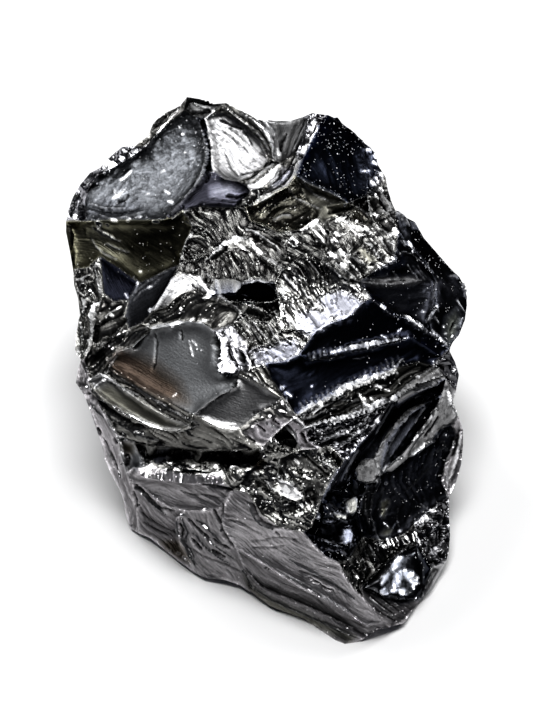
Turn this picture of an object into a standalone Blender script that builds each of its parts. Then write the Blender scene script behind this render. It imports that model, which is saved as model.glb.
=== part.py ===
# Raw shungite: one broken chunk of the silvery, glassy kind, lying on its flattest face.
#
# The stone broke in one piece, so it is one closed solid. Its skin is a net of fracture faces. Each point
# of the net that can be seen in the photograph is written as the pixel where it shows and its height above
# the table in millimetres. The hidden points are plain X, Y, Z in millimetres. Every face is filled
# smoothly between its own border points, then hollowed or swollen a little, as a shell-like break is.

import math
import re

import bpy
import numpy as np
from mathutils import Vector, geometry, noise

# Driving dimensions, in millimetres unless the name says otherwise
PHOTO_SIZE_PX = (533, 720)
STONE_WIDTH = 50.0
STONE_WIDTH_PX = 401.0
PIXEL = STONE_WIDTH / STONE_WIDTH_PX
VIEW_ELEVATION_DEG = 50.0
VIEW_DISTANCE = 700.0
SEEN_SPACING_PX = 7.3
UNSEEN_SPACING_PX = 11.5
EDGE_CLEARANCE = 0.62
BORDER_REACH_PX = 0.002
GRAIN_SIZE = 3.4
MM = 0.001

# Outline of the stone in the photograph, clockwise from the crown: pixel across, pixel down, height
RIM = [
    (187, 97, 33), (200, 99, 33), (213, 104, 32.5), (226, 103, 33), (240, 110, 33), (258, 119, 33),
    (276, 121, 32.5), (290, 121, 32.5), (303, 117, 33), (312, 113, 34), (319, 114, 34), (328, 115, 33),
    (337, 119, 32), (350, 129, 30.5), (362, 139, 29), (375, 153, 27.5), (378, 165, 27), (386, 178, 26.5),
    (388, 190, 26), (392, 203, 25.5), (396, 212, 26), (405, 217, 25.5), (415, 222, 24.5), (424, 238, 23.5),
    (437, 253, 22.5), (450, 268, 21.5), (460, 278, 21), (466, 290, 20.5), (467, 305, 20), (465, 320, 19.5),
    (459, 335, 19), (453, 342, 19), (449, 350, 20), (455, 362, 17), (459, 375, 15.5), (456, 390, 14.5),
    (453, 402, 14), (459, 418, 12), (463, 430, 10.5), (463, 445, 9), (461, 465, 7), (456, 482, 5.5),
    (449, 497, 5), (449, 515, 4), (450, 535, 3), (449, 550, 2), (446, 562, 1.5), (437, 578, 1),
    (430, 590, 1), (420, 600, 0.8), (410, 614, 0.8), (404, 623, 0.8), (390, 627, 1.2), (377, 630, 1.5),
    (366, 638, 0.5), (358, 642, 0), (345, 644, 0), (335, 640, 0), (320, 630, 0), (305, 620, 0),
    (290, 614, 0.3), (275, 609, 0.5), (262, 601, 0.5), (250, 592, 0.6), (240, 585, 0.8), (225, 580, 1),
    (205, 578, 0.6), (195, 573, 0.5), (180, 562, 0.5), (165, 550, 0.5), (150, 538, 0.8), (138, 533, 0.5),
    (130, 528, 0.3), (126, 515, 1.5), (122, 495, 4), (116, 483, 5.5), (110, 472, 7), (105, 460, 8.5),
    (102, 445, 10), (96, 428, 12), (90, 410, 14), (84, 395, 15.5), (76, 383, 16.5), (78, 370, 17.5),
    (81, 360, 18), (75, 350, 18), (76, 335, 18.5), (80, 315, 19.5), (78, 298, 20), (74, 285, 20.5),
    (73, 270, 21), (70, 252, 22), (66, 232, 22.6), (66, 222, 22.2), (69, 208, 22.4), (73, 197, 22.9),
    (80, 185, 23.6), (90, 173, 24.3), (100, 168, 25), (112, 155, 26.4), (122, 147, 27.2), (135, 146, 27.8),
    (148, 136, 28.6), (153, 124, 28.6), (165, 113, 30.2), (180, 106, 32),
]

# Ridges and corners seen inside the outline, in the same units; a point is called by its ridge and number
RIDGES = {
    "disc": [
        (184, 110, 32.6), (197, 118, 32.2), (204, 131, 31.8), (207, 146, 31.4), (207, 159, 31.0),
        (204, 173, 30.6), (197, 186, 30.2), (188, 197, 29.8), (176, 208, 29.5), (164, 220, 29.2),
        (146, 221, 28.3), (125, 221, 27.2), (104, 221, 26.2), (86, 222, 25.0), (84, 207, 25.2),
        (87, 190, 25.6), (96, 177, 26.2), (112, 168, 27.0), (130, 158, 28.0), (148, 145, 29.2),
        (160, 131, 30.3), (172, 119, 31.5),
    ],
    "arc": [
        (222, 106, 33.0), (232, 113, 33.1), (244, 122, 33.1), (256, 131, 33.0), (264, 142, 32.8),
        (269, 153, 32.6), (273, 161, 32.4),
    ],
    "scoop": [
        (205, 119, 31.9), (213, 113, 32.2), (225, 112, 32.4), (236, 118, 32.4), (248, 128, 32.3),
        (259, 138, 32.2), (265, 149, 32.1), (269, 160, 32.0), (262, 169, 31.8), (250, 177, 31.6),
        (238, 182, 31.4), (225, 180, 31.3), (214, 173, 31.2), (210, 160, 31.3), (210, 145, 31.6),
        (208, 130, 31.8),
    ],
    "star": [
        (281, 163, 32.3), (266, 132, 33.2), (273, 147, 32.9), (309, 120, 33.8), (303, 138, 33.6),
        (295, 155, 33.2),
    ],
    "sliver": [
        (268, 174, 32.0), (255, 184, 31.6), (247, 187, 31.4), (274, 179, 32.7), (262, 188, 32.1),
        (250, 191, 31.6),
    ],
    "strip": [
        (320, 124, 33.9), (313, 139, 34.0), (306, 154, 34.1), (300, 167, 34.2), (297, 176, 34.2),
        (288, 187, 34.0), (272, 195, 33.4), (257, 204, 32.8), (246, 207, 32.3),
    ],
    "roll": [(235, 208, 31.2), (218, 208, 30.6), (200, 207, 30.2), (184, 211, 29.8), (172, 218, 29.4)],
    "wall": [
        (193, 226, 28.8), (187, 240, 27.8), (183, 252, 27.0), (179, 265, 26.2), (165, 272, 25.4),
        (150, 279, 24.6), (138, 284, 24.0), (118, 268, 24.2), (100, 257, 23.6), (88, 268, 22.5),
    ],
    "blue": [
        (128, 301, 23.2), (113, 302, 22.6), (103, 294, 22.3), (101, 275, 22.8), (100, 305, 21.8),
        (94, 325, 20.9), (92, 345, 20.0), (84, 360, 18.9),
    ],
    "blade": [
        (124, 316, 22.6), (128, 330, 22.3), (142, 324, 23.8), (154, 311, 25.0), (166, 292, 26.0),
        (174, 279, 26.4), (165, 308, 26.0), (180, 294, 26.9), (195, 290, 27.5), (210, 297, 27.8),
        (183, 272, 26.8), (200, 280, 27.6), (215, 288, 28.2), (228, 302, 28.2), (243, 312, 28.4),
        (232, 325, 27.6), (220, 330, 27.0),
    ],
    "notch": [
        (108, 362, 19.4), (100, 374, 18.4), (88, 381, 17.6), (87, 368, 18.0), (112, 338, 21.0),
        (97, 352, 19.5),
    ],
    "leaf": [
        (118, 352, 20.4), (132, 348, 21.4), (143, 337, 22.6), (153, 329, 23.6), (170, 326, 24.6),
        (188, 322, 25.5), (203, 324, 26.1), (213, 331, 26.4), (217, 343, 26.2), (216, 362, 25.8),
        (222, 373, 25.5), (238, 374, 25.8), (236, 387, 25.2), (222, 394, 24.6), (207, 404, 23.6),
        (194, 415, 22.6),
    ],
    "groove": [
        (185, 412, 22.0), (165, 400, 21.0), (145, 388, 20.2), (125, 374, 19.6), (190, 426, 21.3),
        (168, 418, 19.9), (148, 407, 19.1), (128, 393, 18.5), (112, 380, 18.3),
    ],
    "lip": [
        (180, 430, 20.2), (165, 430, 19.0), (150, 426, 18.3), (135, 418, 17.8), (120, 409, 17.5),
        (106, 400, 17.3), (94, 389, 17.2),
    ],
    "lobe": [
        (252, 380, 26.0), (268, 389, 26.3), (282, 398, 26.0), (276, 405, 25.4), (262, 411, 24.6),
        (247, 424, 23.2), (238, 430, 22.6), (222, 429, 22.2), (207, 421, 22.1), (250, 368, 27.0),
        (252, 350, 27.8), (272, 378, 27.0), (281, 390, 26.6), (287, 402, 25.9),
    ],
    "dome": [
        (252, 222, 31.8), (246, 232, 31.6), (225, 243, 30.2), (205, 256, 28.4), (243, 241, 31.2),
        (262, 257, 31.4), (281, 272, 31.4), (276, 284, 30.6), (258, 280, 30.2), (240, 285, 29.4),
    ],
    "hollow": [
        (280, 298, 30.2), (270, 303, 29.0), (255, 303, 28.4), (240, 302, 28.4), (279, 315, 29.8),
        (268, 322, 28.8), (252, 322, 28.4), (282, 330, 29.4), (268, 343, 28.6),
    ],
    "band": [
        (300, 255, 32.8), (322, 262, 32.2), (345, 276, 30.8), (360, 282, 29.6), (372, 298, 28.2),
        (357, 307, 28.8), (347, 318, 28.8), (330, 324, 29.0), (318, 329, 29.0), (308, 342, 28.5),
        (300, 355, 27.8), (285, 362, 27.5), (266, 364, 27.2), (330, 232, 32.4), (352, 250, 30.9),
    ],
    "khaki": [
        (310, 185, 33.4), (330, 193, 32.0), (349, 203, 30.8), (325, 207, 31.8), (319, 217, 32.4),
        (302, 230, 32.6), (280, 234, 32.2),
    ],
    "shoulder": [
        (366, 148, 28.2), (364, 165, 28.6), (368, 180, 28.6), (367, 196, 29.0), (384, 216, 27.6),
        (371, 214, 28.8), (366, 226, 29.6), (345, 222, 31.0),
    ],
    "lens": [
        (398, 228, 26.6), (398, 243, 27.2), (394, 260, 27.6), (380, 268, 28.4), (408, 245, 26.4),
        (425, 262, 24.4), (436, 282, 22.8), (436, 303, 22.4), (429, 320, 22.4), (432, 334, 21.6),
        (416, 326, 23.4), (400, 317, 25.0), (385, 308, 26.6), (441, 343, 20.6),
    ],
    "slab": [
        (306, 360, 27.6), (325, 356, 27.2), (350, 350, 26.4), (380, 344, 25.0), (398, 340, 24.2),
        (412, 337, 23.4), (441, 357, 20.0), (432, 366, 20.4),
    ],
    "step": [
        (296, 417, 24.8), (320, 403, 25.2), (350, 388, 24.6), (378, 376, 23.7), (398, 368, 22.9),
        (418, 362, 21.6),
    ],
    "crush": [
        (306, 428, 24.2), (330, 421, 24.1), (355, 413, 23.5), (378, 403, 22.8), (396, 396, 22.0),
        (420, 381, 21.0), (440, 368, 19.8), (384, 413, 21.4), (374, 430, 20.8), (358, 446, 20.2),
        (344, 462, 19.6), (330, 446, 21.6), (318, 449, 22.0), (306, 440, 22.9),
    ],
    "plate": [
        (284, 426, 23.8), (272, 438, 22.4), (262, 448, 21.0), (250, 443, 21.0), (240, 436, 21.6),
        (300, 450, 21.2), (292, 436, 22.6), (280, 458, 20.2), (266, 455, 20.2),
    ],
    "under": [
        (92, 396, 16.2), (104, 414, 14.8), (118, 436, 13.4), (135, 443, 13.8), (152, 447, 14.6),
        (175, 448, 15.8), (200, 451, 17.0), (225, 451, 18.4), (248, 451, 19.8), (121, 455, 12.0),
        (127, 474, 10.4), (132, 484, 9.4), (136, 505, 5.2),
    ],
    "pit": [
        (250, 470, 17.6), (236, 474, 16.4), (225, 480, 15.2), (200, 480, 14.2), (178, 478, 13.4),
        (160, 475, 12.6), (147, 472, 11.9), (134, 468, 11.2),
    ],
    "front": [
        (232, 489, 14.4), (223, 508, 12.0), (205, 512, 10.8), (185, 511, 9.8), (168, 508, 9.2),
        (153, 499, 9.2), (141, 486, 9.6), (176, 520, 8.4), (180, 545, 4.4), (188, 560, 2.2),
        (222, 525, 10.2), (236, 548, 7.2), (244, 568, 4.4), (250, 582, 2.0),
    ],
    "brow": [
        (248, 492, 14.8), (262, 515, 13.4), (280, 527, 12.6), (304, 532, 12.4), (313, 543, 11.4),
        (326, 556, 10.4), (339, 562, 10.0), (346, 575, 8.6), (354, 588, 7.2), (364, 597, 6.4),
        (372, 608, 5.2), (384, 622, 2.6),
    ],
    "keel": [
        (366, 626, 2.4), (345, 612, 4.2), (325, 600, 5.2), (300, 588, 5.8), (275, 572, 6.6),
        (352, 630, 1.6), (330, 618, 2.3), (305, 606, 2.7), (280, 596, 2.8), (262, 588, 2.6),
    ],
    "rubble": [
        (278, 480, 17.6), (334, 478, 18.4), (324, 495, 17.0), (303, 498, 16.4), (290, 484, 17.7),
        (296, 501, 15.8), (280, 494, 16.2), (318, 512, 15.2), (312, 528, 13.8),
    ],
    "ribbon": [
        (446, 379, 18.2), (428, 388, 18.2), (410, 397, 18.8), (398, 404, 19.6), (442, 396, 16.4),
        (425, 404, 16.2), (410, 410, 16.2), (396, 422, 16.2), (387, 436, 16.2), (380, 452, 16.0),
        (376, 462, 15.8), (362, 462, 15.4), (356, 472, 15.0), (345, 490, 14.8), (381, 462, 16.0),
        (386, 445, 16.9), (395, 430, 17.3), (408, 416, 17.2), (420, 408, 16.7),
    ],
    "tongue": [
        (358, 480, 13.8), (368, 484, 13.2), (378, 482, 13.4), (381, 472, 14.8), (390, 465, 14.4),
        (402, 455, 14.4), (412, 443, 14.6), (420, 430, 15.0), (432, 415, 15.2), (392, 472, 13.0),
        (404, 462, 12.9), (415, 452, 12.7), (430, 443, 12.2), (440, 430, 12.0), (452, 424, 11.7),
    ],
    "cheek": [
        (457, 432, 10.4), (453, 447, 8.8), (446, 465, 7.4), (443, 482, 6.2), (440, 505, 5.8),
        (428, 512, 6.6), (415, 524, 6.8), (405, 535, 6.6), (390, 540, 7.0), (375, 540, 7.8),
        (362, 538, 8.8), (358, 515, 10.6), (362, 495, 12.2), (350, 560, 9.0),
    ],
    "knob": [
        (418, 545, 5.2), (402, 552, 5.6), (388, 562, 5.8), (375, 575, 6.2), (362, 588, 6.6),
        (432, 568, 2.8), (424, 556, 4.4), (424, 590, 1.8), (415, 600, 1.6), (395, 600, 2.8),
        (378, 596, 4.4),
    ],
}

# Hidden points: the flat resting face and the middle of the unseen sides, as X, Y, Z
HIDDEN = {
    "base": [
        (-1, -33, 0), (-8.5, -29, 0), (-14.5, -23.5, 0), (-17.6, -14, 0), (-15.2, -4, 0), (-9, 4, 0),
        (3, 7.5, 0), (12, 3, 0), (18.4, -8, 0), (20.2, -23, 0), (19, -33, 0), (14.6, -39.4, 0),
    ],
    "side": [
        (-21.2, -14, 8), (-21.8, -4, 13), (-20, 6, 11), (-11, 11.5, 17.5), (1, 13.5, 12), (12.5, 10, 18),
        (19, 1, 10), (21.8, -9, 12.5), (22.4, -20, 6.5),
    ],
    "heel": [(-17.5, 9.5, 20.5), (-8, 14.5, 22), (2, 15.2, 26), (9, 12.8, 21), (16.5, 5, 20)],
}

# Fracture faces: border points in order, and how deep the face is hollowed (minus swells it), in millimetres
SEEN_FACES = {
    "granular disc": ("disc0-disc21", 1.3),
    "left rim": ("rim93-rim98 disc16-disc13", 0.1),
    "left brow": ("rim98-rim101 disc19-disc16", 0.15),
    "crown ledge": ("disc0 disc21-disc19 rim101-rim105 rim0", 0.3),
    "crown wedge": ("rim0-rim3 arc0 scoop1 scoop0 disc1 disc0", 0.5),
    "disc crack": ("disc1-disc5 scoop12-scoop15 scoop0", 0.55),
    "bright scoop": ("scoop0-scoop15", 1.0),
    "arc band": ("scoop1-scoop7 arc6-arc0", 0.25),
    "outer arc": ("arc0 rim3-rim5 star1 star2 arc6-arc1", -0.15),
    "star left": ("rim5 rim6 star0 arc6 star2 star1", 0.25),
    "star right": ("rim6-rim8 star3-star5 star0", 0.4),
    "silver strip": ("rim8-rim11 strip0-strip3 star5-star3", -0.15),
    "star foot": ("scoop7 arc6 star0 sliver0-sliver2 scoop10-scoop8", 0.25),
    "white sliver": ("star0 sliver3-sliver5 sliver2-sliver0", 0.1),
    "star plates": ("star0 star5 strip3-strip6 sliver4 sliver3", 0.2),
    "pale patch": ("sliver4 strip6-strip8 roll0 sliver5", 0.15),
    "violet roll": ("disc5 scoop12-scoop10 sliver2 sliver5 roll0-roll4 disc9-disc6", -0.5),
    "olive wall": ("rim92 rim93 disc13-disc9 roll4 roll3 wall0-wall9 rim90 rim91", 1.1),
    "blue face": ("wall8-wall6 blue0-blue3", 0.4),
    "speckled column": ("rim90 wall9 wall8 blue3 blue2 blue4-blue7 rim84-rim89", 0.2),
    "long blade": ("wall3-wall6 blue0 blade0-blade5", 0.35),
    "white gable": ("blade5 blade10-blade12 blade9-blade6 blade3 blade4", 0.15),
    "dark brow": ("blade2 blade3 blade6-blade9 blade13-blade16 leaf7-leaf3", 0.4),
    "upper slats": ("blue4 blue2-blue0 blade0 blade1 notch4 notch5 blue6 blue5", 0.5),
    "lower slats": ("notch4 blade1 blade2 leaf3-leaf0 notch0-notch3 blue7 blue6 notch5", 0.6),
    "leaf face": ("leaf0-leaf15 groove0-groove3 notch0", 0.9),
    "grooved band": ("notch0 groove3-groove0 leaf15 groove4-groove8 notch1", 0.25),
    "lower leaf": ("notch1 groove8-groove4 lip0-lip6 notch2", 0.45),
    "leaf lobe": ("leaf15-leaf11 lobe0-lobe8", 0.5),
    "bright drop": ("leaf7 blade16 blade15 lobe10 lobe9 leaf11-leaf8", -0.7),
    "lobe edge": ("leaf11 lobe9 band12 lobe11-lobe13 lobe2-lobe0", 0.1),
    "upper hackle": ("wall0 roll3-roll0 strip8 dome0 dome1 dome4 dome2 dome3 wall3-wall1", 0.6),
    "dome face": ("wall3 dome3 dome2 dome4-dome9 blade12-blade10 blade5", 0.5),
    "black hollow": ("blade12 dome9-dome7 hollow0-hollow3 blade13 blade9", 1.5),
    "lower hollow": ("blade13 hollow3-hollow0 hollow4-hollow6 blade14", 1.3),
    "drip hackle": ("blade14 hollow6-hollow4 hollow7 hollow8 lobe10 blade15", 0.2),
    "silver hackle": ("dome6 band0-band8 hollow7 hollow4 hollow0 dome7", 0.5),
    "silver foot": ("hollow7 band8-band12 lobe9 lobe10 hollow8", 0.3),
    "khaki hollow": ("strip4 khaki0-khaki6 dome0 strip8-strip5", 1.2),
    "crest hackle": ("dome0 khaki6-khaki4 band13 band1 band0 dome6-dome4 dome1", 0.35),
    "navy face": ("strip0 rim11-rim14 shoulder0-shoulder3 khaki2-khaki0 strip4-strip1", 0.5),
    "shoulder hackle": ("rim14-rim20 shoulder4 shoulder5 shoulder3-shoulder0", -0.3),
    "dark pocket": ("khaki3 khaki2 shoulder3 shoulder5-shoulder7", 0.8),
    "white hackle": ("khaki4 khaki3 shoulder7 shoulder6 band14 band2 band1 band13", 0.3),
    "right hackle": ("shoulder6 shoulder5 shoulder4 rim20 lens0-lens3 band3 band2 band14", 0.3),
    "outer lens": ("rim20-rim32 lens13 lens9-lens4 lens0", -0.3),
    "inner lens": ("lens0-lens3 band3 band4 lens12-lens4", 0.9),
    "upper slab": ("band8-band4 lens12-lens9 lens13 rim32 slab6-slab0 band10 band9", 0.35),
    "middle slab": ("band10-band12 lobe11-lobe13 step0-step5 slab7 slab6 slab5-slab0", 0.5),
    "lower slab": ("step0-step5 slab7 crush6-crush0", 0.4),
    "crushed band": ("crush0-crush4 crush7-crush13", 0.35),
    "grey step": ("lobe3 lobe2 lobe13 step0 plate0-plate4 lobe6-lobe4", 0.2),
    "grey plates": ("step0 crush0 crush13 crush12 plate5 plate6 plate0", 0.2),
    "plate pocket": ("plate0 plate6 plate5 plate7 plate8 plate2 plate1", 0.7),
    "layered band": ("notch2 lip6-lip0 groove4 leaf15 lobe8-lobe6 plate4-plate2 under8-under0", 0.4),
    "upper flank": ("blue7 notch3 notch2 under0 rim81-rim84", 0.15),
    "lower flank": ("under0-under2 under9-under12 rim71-rim81", 0.3),
    "pit cheek": ("under2 under3 pit6 pit7 under10 under9", 0.4),
    "black pit": ("under3-under8 plate2 plate8 pit0-pit6", 1.9),
    "front plate": ("under11 under10 pit7-pit2 front0-front6", 0.2),
    "front left": ("under12 under11 front6-front3 front7-front9 rim67-rim71", 0.35),
    "streaked front": ("front3-front1 front10-front13 rim63-rim67 front9-front7", 0.3),
    "smooth front": ("front1 front0 brow0-brow11 keel0-keel4 front11 front10", 0.3),
    "dark keel": ("front11 keel4-keel0 brow11 rim52-rim54 keel5-keel9 front12", 0.5),
    "keel rim": ("front12 keel9-keel5 rim54-rim63 front13", -0.15),
    "rubble ledge": ("pit2-pit0 plate8 plate7 rubble0 brow0 front0", 0.5),
    "rubble top": ("plate7 plate5 crush12-crush10 rubble1-rubble4 rubble0", 0.5),
    "pale plate": ("rubble0 rubble4 rubble3 rubble5 rubble6", 0.1),
    "rubble foot": ("rubble0 rubble6 rubble5 rubble3 rubble2 rubble7 rubble8 brow3-brow0", 0.5),
    "upper ribbon": ("crush4-crush6 ribbon0-ribbon3", -0.2),
    "long channel": ("crush4 ribbon3-ribbon0 ribbon4-ribbon13 rubble2 rubble1 crush10-crush7", 1.6),
    "middle ribbon": ("ribbon5-ribbon10 ribbon14-ribbon18", -0.25),
    "grey tongue": ("ribbon10-ribbon12 tongue0-tongue3 ribbon14", -0.25),
    "short channel": ("ribbon5 ribbon18-ribbon14 tongue3-tongue8 ribbon4", 1.2),
    "lower ribbon": ("ribbon0 rim35-rim37 tongue14-tongue9 tongue3-tongue8 ribbon4", -0.25),
    "corner lump": ("slab6 rim32-rim35 ribbon0 crush6 slab7", -0.5),
    "dark cheek": ("tongue3 tongue9-tongue14 cheek0-cheek3 rim42 cheek4-cheek12 tongue1 tongue2", 0.9),
    "right edge": ("tongue14 rim37-rim42 cheek3-cheek0", 0.15),
    "glass shards": ("ribbon12 tongue0 tongue1 cheek12-cheek10 cheek13 brow6-brow3 rubble8 rubble7 rubble2"
                     " ribbon13", 1.0),
    "barred band": ("cheek13 cheek10-cheek6 knob0-knob4 brow9-brow6", 0.5),
    "corner glint": ("cheek6-cheek4 rim42-rim46 knob5 knob6 knob0", 0.3),
    "glossy knob": ("knob1 knob0 knob6 knob5 knob7-knob10 knob4-knob2", -1.3),
    "low edge": ("knob5 rim46-rim49 knob8 knob7", 0.1),
    "toe streaks": ("brow9 knob4 knob10-knob8 rim49-rim52 brow11 brow10", 0.2),
}

# Unseen fracture faces, written in the same way
UNSEEN_FACES = {
    "resting face": ("rim55-rim59 base0-base11", 0.0),
    "front undercut": ("rim59-rim66 base1 base0", 0.0),
    "left undercut": ("rim66-rim72 base2 base1", 0.0),
    "left foot": ("rim72-rim78 side0 base3 base2", 0.5),
    "left waist": ("rim78-rim85 side1 side0", 0.7),
    "left heel": ("side0 side1 base4 base3", 0.6),
    "left shell": ("rim85-rim91 side2 side1", 0.9),
    "back left foot": ("side1-side3 base5 base4", 0.9),
    "back left brow": ("rim91-rim97 heel0 side2", 0.7),
    "back left wall": ("side2 heel0 side3", 0.5),
    "crown left": ("rim97-rim104 heel1 heel0", 0.9),
    "left rib": ("heel0 heel1 side3", 0.5),
    "crown back": ("rim104-rim105 rim0-rim5 heel2 heel1", 0.6),
    "crown scoop": ("heel1 heel2 side4 side3", 1.4),
    "saddle back": ("rim5-rim11 heel3 heel2", 0.5),
    "saddle scoop": ("heel2 heel3 side5 side4", 1.1),
    "back foot": ("side3 side4 base6 base5", 0.9),
    "back right foot": ("side4 side5 base7 base6", 0.6),
    "navy back": ("rim11-rim20 heel4 heel3", 0.9),
    "right rib": ("heel3 heel4 side5", 0.6),
    "right wedge": ("heel4 side6 side5", 0.4),
    "right heel": ("side5 side6 base8 base7", 0.7),
    "lens back": ("rim20-rim26 side7 side6 heel4", 1.0),
    "lens foot": ("rim26-rim34 side7", 0.7),
    "right foot": ("side6-side8 base9 base8", 0.6),
    "right waist": ("rim34-rim40 side8 side7", 0.5),
    "right toe": ("rim40-rim45 base10 base9 side8", 0.4),
    "toe undercut": ("rim45-rim50 base11 base10", 0.0),
    "tip undercut": ("rim50-rim55 base11", 0.0),
}

# How rough the break is: height of the grain in millimetres on the faces that aren't smooth
GRAIN = {
    "granular disc": 0.18, "speckled column": 0.3, "upper hackle": 0.4, "dome face": 0.22,
    "silver hackle": 0.42, "silver foot": 0.3, "crest hackle": 0.4, "shoulder hackle": 0.35,
    "white hackle": 0.45, "right hackle": 0.4, "drip hackle": 0.4, "crushed band": 0.35,
    "rubble ledge": 0.4, "rubble top": 0.5, "rubble foot": 0.45, "black pit": 0.4, "bright drop": 0.35,
    "streaked front": 0.25, "front left": 0.2, "khaki hollow": 0.25, "glass shards": 0.5,
    "barred band": 0.3, "corner glint": 0.3, "lower flank": 0.2, "dark cheek": 0.2, "layered band": 0.15,
}
UNSEEN_GRAIN = 0.28

# Broad swells of the unseen side, in millimetres: height, length, and the way they take to fade out
SWELL_HEIGHT = 1.5
SWELL_LENGTH = 9.0
SWELL_FADE = 5.0


def view_axes():
    """Camera place, and its right, up and forward directions, in millimetres about the aimed point."""
    tilt = math.radians(VIEW_ELEVATION_DEG)
    forward = np.array([0.0, math.cos(tilt), -math.sin(tilt)])
    up = np.array([0.0, math.sin(tilt), math.cos(tilt)])
    return -forward * VIEW_DISTANCE, np.array([1.0, 0.0, 0.0]), up, forward


def places(pixels, heights):
    """Points in space that show at these pixels and lie at these heights above the table."""
    eye, right, up, forward = view_axes()
    across = (pixels[:, 0] - PHOTO_SIZE_PX[0] / 2) * PIXEL
    rise = (PHOTO_SIZE_PX[1] / 2 - pixels[:, 1]) * PIXEL
    rays = forward * VIEW_DISTANCE + across[:, None] * right + rise[:, None] * up
    reach = (heights - eye[2]) / rays[:, 2]
    return eye + rays * reach[:, None]


def shown_at(point):
    """Pixel and height of a point in space."""
    eye, right, up, forward = view_axes()
    offset = np.array(point, float) - eye
    scale = VIEW_DISTANCE / (offset @ forward) / PIXEL
    return (
        PHOTO_SIZE_PX[0] / 2 + (offset @ right) * scale,
        PHOTO_SIZE_PX[1] / 2 - (offset @ up) * scale,
        float(point[2]),
    )


def net_points():
    """Every named point of the net as (pixel across, pixel down, height)."""
    points = {f"rim{i}": tuple(map(float, p)) for i, p in enumerate(RIM)}
    for name, chain in RIDGES.items():
        points.update({f"{name}{i}": tuple(map(float, p)) for i, p in enumerate(chain)})
    for name, chain in HIDDEN.items():
        points.update({f"{name}{i}": shown_at(p) for i, p in enumerate(chain)})
    return points


def border_names(words):
    """The point names of a border such as "rim3-rim5 star1", its runs counted up or down."""
    names = []
    for word in words.split():
        ends = re.findall(r"([a-z]+)(\d+)", word)
        (ridge, first), (_, last) = ends[0], ends[-1]
        step = 1 if int(last) >= int(first) else -1
        names += [f"{ridge}{i}" for i in range(int(first), int(last) + step, step)]
    return names


def inside(polygon, points):
    """Which points lie inside a closed polygon."""
    found = np.zeros(len(points), bool)
    for (x0, y0), (x1, y1) in zip(polygon, np.roll(polygon, -1, axis=0)):
        crosses = (y0 > points[:, 1]) != (y1 > points[:, 1])
        with np.errstate(divide="ignore", invalid="ignore"):
            at = (x1 - x0) * (points[:, 1] - y0) / (y1 - y0) + x0
        found ^= crosses & (points[:, 0] < at)
    return found


def edge_distances(polygon, points):
    """Distance from each point to each edge of the polygon, one column per edge."""
    starts = polygon
    runs = np.roll(polygon, -1, axis=0) - starts
    along = ((points[:, None] - starts) * runs).sum(2) / (runs**2).sum(1)
    nearest = starts + np.clip(along, 0, 1)[..., None] * runs
    return np.linalg.norm(points[:, None] - nearest, axis=2)


def smooth_fill(polygon, values, points):
    """Mean value interpolation: straight along each edge, and smooth inside."""
    spokes = polygon[None] - points[:, None]
    reach = np.linalg.norm(spokes, axis=2)
    after = np.roll(spokes, -1, axis=1)
    reach_after = np.roll(reach, -1, axis=1)
    cross = spokes[..., 0] * after[..., 1] - spokes[..., 1] * after[..., 0]
    dot = (spokes * after).sum(2)
    with np.errstate(divide="ignore", invalid="ignore"):
        half = cross / (reach * reach_after + dot)
        weights = (np.roll(half, 1, axis=1) + half) / reach
        filled = (weights * values).sum(1) / weights.sum(1)
    on_edge = (np.abs(cross) < 1e-6 * reach * reach_after + 1e-9) & (dot <= 0)
    rows, edges = np.nonzero(on_edge)
    share = reach[rows, edges] / np.maximum(reach[rows, edges] + reach_after[rows, edges], 1e-9)
    filled[rows] = values[edges] * (1 - share) + np.roll(values, -1)[edges] * share
    return filled


def hollow(polygon, points):
    """0 on the border and 1 at the middle of a face, steep at the border as a shell-like break is."""
    distances = np.maximum(edge_distances(polygon, points), 1e-6)
    depth = (distances**-2.0).sum(1) ** -0.5
    widest = max(depth.max(), 2.5)
    return 1 - (1 - depth / widest) ** 2


def face_heights(faces, net, points, inward):
    """Height of every point from the face that holds it, and how near the middle of that face it lies.
    Faces are hollowed by lowering a seen face (inward is -1) and raising an unseen one (inward is 1)."""
    heights = np.full(len(points), np.nan)
    grain = np.zeros(len(points))
    for name, (words, dish) in faces.items():
        corners = np.array([net[n] for n in border_names(words)])
        near = edge_distances(corners[:, :2], points).min(1) < BORDER_REACH_PX
        held = inside(corners[:, :2], points) | near
        if not held.any():
            continue
        fill = smooth_fill(corners[:, :2], corners[:, 2], points[held])
        shape = hollow(corners[:, :2], points[held])
        heights[held] = fill + inward * dish * shape
        usual = UNSEEN_GRAIN if inward > 0 and dish > 0 else 0.0
        grain[held] = GRAIN.get(name, usual) * np.minimum(1.0, 1.6 * shape)
    return heights, grain


def spaced_borders(faces, net, spacing):
    """Points along all borders of the net, about this far apart, and the edges that join them."""
    points, numbers, edges, done = [], {}, [], set()

    def number(name):
        if name not in numbers:
            numbers[name] = len(points)
            points.append(net[name][:2])
        return numbers[name]

    for words, _ in faces.values():
        names = border_names(words)
        for a, b in zip(names, names[1:] + names[:1]):
            if frozenset((a, b)) in done:
                continue
            done.add(frozenset((a, b)))
            a, b = sorted((a, b))
            first, last = number(a), number(b)
            start, end = np.array(net[a][:2]), np.array(net[b][:2])
            parts = max(1, round(np.linalg.norm(end - start) / spacing))
            chain = [first]
            for k in range(1, parts):
                chain.append(len(points))
                points.append(tuple(start + (end - start) * k / parts))
            chain.append(last)
            edges += list(zip(chain, chain[1:]))
    return np.array(points), edges


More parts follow.
